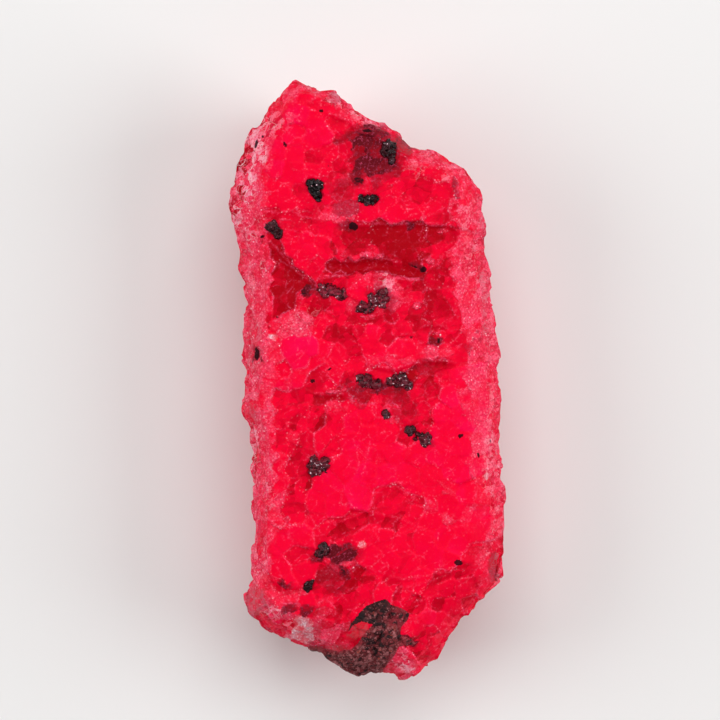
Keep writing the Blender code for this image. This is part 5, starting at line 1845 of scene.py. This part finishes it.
class RubyPainter:
    """Lays the ruby's colours over each other on one bench."""

    def __init__(self, finish: RubyFinish, bench: NodeBench, effects: Effects) -> None:
        """Place the patterns and work out where the frost lies.

        Args:
            finish: Colours and sizes of the finish.
            bench: Bench on the material.
            effects: Shared node groups.
        """
        self.finish = finish
        self.bench = bench
        sugar = bench.group(effects.sugar, Size=finish.sugar_size).outputs
        self.fine = sugar["Height"]
        self.pits = sugar["Pit"]
        self.coarse = bench.group(effects.sugar, Size=finish.cloud_size).outputs["Height"]
        self.dot = bench.group(effects.dots, Size=finish.dot_size, Share=finish.dot_share).outputs["Dot"]
        self.flakes = bench.group(effects.chips, Size=finish.flake_size).outputs
        self.shards = bench.group(effects.chips, Size=finish.shard_size).outputs
        self.band = bench.sum("SUBTRACT", 1.0, bench.mask("front"))
        uneven = bench.scaled(self.coarse, 0.9, -0.45)
        loose = bench.sum("ADD", uneven, bench.mask("frost"))
        parts = bench.scaled(self.shards["Other"], 0.36, -0.18)
        self.frost = bench.ease(bench.sum("ADD", parts, loose), 0.28, 0.85)
        self.colour: Feed = finish.glow

    def over(self, share: Feed, colour: Colour) -> None:
        """Lay a colour over what is there."""
        self.colour = self.bench.blend(share, self.colour, colour)

    def paint_red(self) -> None:
        """Paint the bare crystal, from deep to rose by the facet's tone."""
        bench = self.bench
        given = bench.mask("tone")
        parts = bench.scaled(self.shards["Value"], 0.65, -0.5)
        parts = bench.scaled(self.flakes["Value"], 0.35, parts)
        swing = bench.ease(given, 0.15, -0.5)
        tone = bench.scaled(parts, bench.sum("ADD", swing, 0.12), given)
        uneven = bench.sum("SUBTRACT", self.coarse, 0.5)
        tone = bench.scaled(uneven, 0.35, tone)
        self.colour = bench.blend(bench.ease(tone, -1.4, 0.05), self.finish.deep, self.finish.glow)
        self.over(bench.ease(tone, 0.0, 0.85), self.finish.rose)

    def lay_sugar(self) -> None:
        """Lay the pink sugary grain of the frost over the red."""
        bench = self.bench
        worn = bench.scaled(self.flakes["Value"], 0.45, 0.35)
        worn = bench.scaled(self.shards["Value"], 0.4, worn)
        self.over(bench.times(self.frost, worn), self.finish.frosted)
        self.over(bench.times(self.pits, bench.scaled(self.frost, 0.35, 0.02)), self.finish.deep)
        self.over(bench.times(bench.ease(self.fine, 0.52, 0.7, 0.45), self.frost), self.finish.fleck)

    def lay_plates(self) -> None:
        """Lay pale plates, dark cracks and rims of painted glint on the sloping bands, with painted
        highlight on the plates under gleam marks.
        """
        bench = self.bench
        gleam = bench.mask("gleam")
        # Gleam marks: painted highlight on the pale plates.
        strength = bench.scaled(gleam, 0.95, bench.times(self.band, 0.2))
        plate = bench.scaled(self.flakes["Value"], 0.65, bench.times(self.shards["Other"], 0.35))
        worn = bench.times(strength, bench.ease(self.fine, 0.3, 0.55))
        self.over(bench.times(bench.ease(plate, 0.52, 0.6), worn), self.finish.fleck)
        self.over(bench.times(bench.ease(plate, 0.72, 0.8, 0.6), worn), self.finish.painted_glint)
        self.over(bench.times(bench.ease(plate, 0.42, 0.3), strength), self.finish.deep)
        self.over(bench.times(self.flakes["Line"], bench.times(self.band, 0.3)), self.finish.deep)
        # Rims: painted glints along flake edges.
        rims = bench.times(self.flakes["Line"], bench.ease(self.flakes["Other"], 0.5, 0.9))
        share = bench.scaled(gleam, 0.8, bench.times(self.band, 0.15))
        self.over(bench.times(rims, share), self.finish.painted_glint)

    def draw_seams(self) -> None:
        """Draw pale beaded lines along facet borders, partly painted highlight at the ledge lips, and
        scatter bright dots as painted sparkle.
        """
        bench = self.bench
        thin = bench.times(self.shards["Line"], bench.ease(self.coarse, 0.53, 0.63, 0.35))
        seam = bench.sum("MAXIMUM", bench.mask("border"), thin)
        beads = bench.scaled(bench.ease(self.fine, 0.42, 0.62), 0.65, 0.1)
        self.over(bench.times(seam, beads), self.finish.line)
        around = bench.scaled(seam, 0.7, bench.times(bench.mask("near"), 0.45))
        around = bench.sum("MAXIMUM", around, bench.scaled(self.frost, 0.6, 0.02))
        # Painted sparkle: bright dots gathered along seams and in the frost.
        bright = bench.times(self.dot, around)
        self.over(bright, self.finish.fleck)
        self.over(bench.ease(bright, 0.45, 0.75), self.finish.painted_glint)

    def lay_stains(self) -> None:
        """Lay brown film, smoke, white patches and dark specks."""
        bench = self.bench
        flake = self.flakes["Value"]
        uneven = bench.sum("SUBTRACT", self.fine, 0.5)
        patchy = bench.scaled(uneven, 2.0, bench.scaled(flake, 0.7, 0.3))
        self.over(bench.times(bench.mask("brown"), patchy), self.finish.brown)
        mottle = bench.scaled(flake, 0.45, bench.scaled(self.shards["Value"], 0.45, 0.55))
        broken = bench.scaled(bench.ease(self.shards["Other"], 0.0, 0.75), 0.45, 0.6)
        mottle = bench.sum("ADD", bench.times(mottle, broken), uneven)
        smoke = bench.times(bench.mask("smoke"), mottle)
        self.over(smoke, self.finish.smoke)
        self.over(bench.times(smoke, bench.ease(self.fine, 0.52, 0.68, 0.22)), self.finish.line)
        streak = bench.scaled(bench.ease(self.coarse, 0.4, 0.53), 0.65, 0.35)
        streak = bench.times(streak, bench.scaled(flake, 0.8, 0.4))
        white = bench.times(bench.mask("white"), streak)
        self.over(white, self.finish.white)
        self.over(bench.times(white, bench.ease(self.fine, 0.5, 0.62, 0.95)), self.finish.painted_glint)
        ragged = bench.scaled(uneven, 0.9, bench.scaled(flake, 0.3, bench.mask("speck")))
        self.over(bench.ease(ragged, 0.45, 0.75, 0.95), self.finish.black_speck_and_shade)


@dataclass(frozen=True)
class GrainFinish:
    """Near-black mineral with painted glints on its small faces, and red showing through thin grains."""

    black: Colour = (0.006, 0.003, 0.004)
    grey: Colour = (0.06, 0.03, 0.04)
    maroon: Colour = (0.3, 0.016, 0.04)
    glint: Colour = (0.8, 0.55, 0.62)
    chip_size: float = 0.0003
    dot_size: float = 0.0002
    dot_share: float = 0.65
    bump_height: float = 0.00008
    specular: float = 0.2

    def build(self, effects: Effects) -> Material:
        """Make the material.

        Args:
            effects: Shared node groups.

        Returns:
            The material.
        """
        material, bench, shader = new_material(Slot.GRAIN.value)
        chip = bench.group(effects.chips, Size=self.chip_size).outputs["Value"]
        dots = bench.group(effects.dots, Size=self.dot_size, Share=self.dot_share)
        colour = bench.blend(bench.ease(bench.mask("chip"), 0.6, 1.0), self.black, self.grey)
        thin = bench.times(bench.scaled(chip, 1.3, 0.1), bench.mask("veil"))
        colour = bench.blend(thin, colour, self.maroon)
        # Painted glints: bright spots on the lighter chips.
        bright = bench.times(dots.outputs["Dot"], bench.ease(bench.mask("chip"), 0.5, 0.75))
        colour = bench.blend(bench.ease(bright, 0.1, 0.6), colour, self.glint)
        bench.fill(shader, {
            "Base Color": colour,
            "Roughness": bench.scaled(chip, 0.25, 0.15),
            "Normal": bench.bump(chip, self.bump_height, 0.9),
            "Specular IOR Level": self.specular,
        })
        return material


@dataclass(frozen=True)
class MatrixFinish:
    """Crumbly dark brown rock with tan and rusty granules."""

    dark: Colour = (0.022, 0.004, 0.006)
    brown: Colour = (0.19, 0.022, 0.028)
    tan: Colour = (0.5, 0.17, 0.18)
    rust: Colour = (0.36, 0.045, 0.025)
    stained: Colour = (0.3, 0.014, 0.028)
    # Near black of the painted shade along the upper edge; the ruby uses its own near black for dark specks.
    black_speck_and_shade: Colour = (0.009, 0.004, 0.005)
    sand_size: float = 0.00017
    crumb_size: float = 0.00045
    dot_size: float = 0.0002
    dot_share: float = 0.65
    bump_height: float = 0.00012
    specular: float = 0.2

    def build(self, effects: Effects) -> Material:
        """Make the material.

        Args:
            effects: Shared node groups.

        Returns:
            The material.
        """
        material, bench, shader = new_material(Slot.MATRIX.value)
        fine = bench.group(effects.sugar, Size=self.sand_size)
        dots = bench.group(effects.dots, Size=self.dot_size, Share=self.dot_share)
        crumbs = bench.group(effects.chips, Size=self.crumb_size)
        grade = bench.scaled(bench.mask("tail"), 0.2, bench.times(bench.mask("granule"), 0.5))
        granule = bench.scaled(crumbs.outputs["Value"], 0.5, grade)
        colour = bench.blend(bench.ease(granule, 0.3, 0.62), self.dark, self.brown)
        colour = bench.blend(bench.ease(granule, 0.68, 0.8, 0.6), colour, self.tan)
        colour = bench.blend(bench.ease(bench.mask("granule"), 0.9, 0.97, 0.7), colour, self.rust)
        joints = bench.sum("MAXIMUM", bench.times(bench.mask("joint"), 0.5), crumbs.outputs["Line"])
        colour = bench.blend(bench.times(joints, 0.6), colour, self.dark)
        stain = bench.times(bench.mask("rim"), bench.ease(granule, 0.1, 0.6, 0.75))
        colour = bench.blend(stain, colour, self.stained)
        # Painted shade along the upper edge, where the remnant meets the crystal.
        colour = bench.blend(bench.times(bench.mask("black_speck_and_shade"), 0.85), colour, self.black_speck_and_shade)
        colour = bench.blend(bench.times(dots.outputs["Dot"], 0.6), colour, self.tan)
        height = bench.scaled(crumbs.outputs["Value"], 0.8, fine.outputs["Height"])
        bench.fill(shader, {
            "Base Color": colour,
            "Roughness": bench.scaled(granule, 0.3, 0.45),
            "Normal": bench.bump(height, self.bump_height, 0.9),
            "Specular IOR Level": self.specular,
        })
        return material


@dataclass(frozen=True)
class FloorFinish:
    """Plain pale matt floor."""

    pale: Colour = (0.79, 0.785, 0.78)
    roughness: float = 0.7

    def build(self) -> Material:
        """Make the material.

        Returns:
            The material.
        """
        material, bench, shader = new_material("pale_floor")
        bench.fill(shader, {"Base Color": self.pale, "Roughness": self.roughness})
        return material


@dataclass
class Studio:
    """Floor, soft lights and the camera that looks straight down."""

    aim: Place = (-0.000546, 0.00172, 0.01)
    camera_distance: float = 0.504
    lens: float = 300.0
    floor_size: float = 3.0
    world_light: float = 0.2
    world_colour: Colour = (1.0, 0.99, 0.98)

    def build(self) -> None:
        """Set up the floor, the lights and the camera."""
        self.lay_floor()
        self.add_light("key", (0.05, 0.35, 0.65), 0.6, 3.0)
        self.add_light("fill_left", (-0.65, 0.05, 0.45), 0.5, 2.9)
        self.add_light("fill_right", (0.65, 0.0, 0.45), 0.5, 3.4)
        self.set_world()
        self.place_camera()
        bpy.context.scene.view_settings.view_transform = "Standard"

    def lay_floor(self) -> None:
        """Lay a pale floor at the resting height."""
        work = bmesh.new()
        bmesh.ops.create_grid(work, x_segments=1, y_segments=1, size=self.floor_size / 2.0)
        floor = add_object("floor", work)
        floor.data.materials.append(FloorFinish().build())

    def add_light(self, name: str, place: Place, size: float, power: float) -> None:
        """Hang a square soft light that points at the crystal.

        Args:
            name: Name of the light.
            place: Where it hangs.
            size: Side of the square.
            power: Power in watts.
        """
        data = bpy.data.lights.new(name, "AREA")
        data.size = size
        data.energy = power
        lamp = bpy.data.objects.new(name, data)
        lamp.location = place
        toward = Vector(self.aim) - Vector(place)
        lamp.rotation_euler = toward.to_track_quat("-Z", "Y").to_euler()
        bpy.context.scene.collection.objects.link(lamp)

    def set_world(self) -> None:
        """Fill the surroundings with even pale light."""
        world = bpy.data.worlds.new("studio")
        world.use_nodes = True
        background = world.node_tree.nodes["Background"]
        background.inputs["Color"].default_value = (*self.world_colour, 1.0)
        background.inputs["Strength"].default_value = self.world_light
        bpy.context.scene.world = world

    def place_camera(self) -> None:
        """Look straight down with the apex toward the top."""
        data = bpy.data.cameras.new("camera")
        data.lens = self.lens
        data.clip_start = 0.01
        camera = bpy.data.objects.new("camera", data)
        x, y, z = self.aim
        camera.location = (x, y, z + self.camera_distance)
        bpy.context.scene.collection.objects.link(camera)
        bpy.context.scene.camera = camera


def declare(item: Item, node: str) -> None:
    """Tie a piece to the frame and report it.

    Args:
        item: Piece of the scene.
        node: Part of the frame that it stands for.
    """
    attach(item, "root")
    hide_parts(node)
    item.data.calc_loop_triangles()
    LOG.info("%s: %d triangles", item.name, len(item.data.loop_triangles))


def main() -> None:
    """Build the crystal, its grains, the matrix and the studio around them."""
    logging.basicConfig(level=logging.INFO, format="%(message)s")
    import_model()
    effects = Effects.build()
    ruby = RubyCrystal()
    crystal = ruby.build()
    bpy.context.view_layer.update()
    remnant = MatrixRemnant().build(crystal, MatrixFinish().build(effects))
    grains = DarkGrains().build(crystal, GrainFinish().build(effects))
    ruby.dress(crystal, RubyFinish().build(effects))
    declare(crystal, "ruby_crystal")
    declare(remnant, "dark_matrix")
    for node, grain in grains.items():
        declare(grain, node)
    Studio().build()


if __name__ == "__main__":
    main()
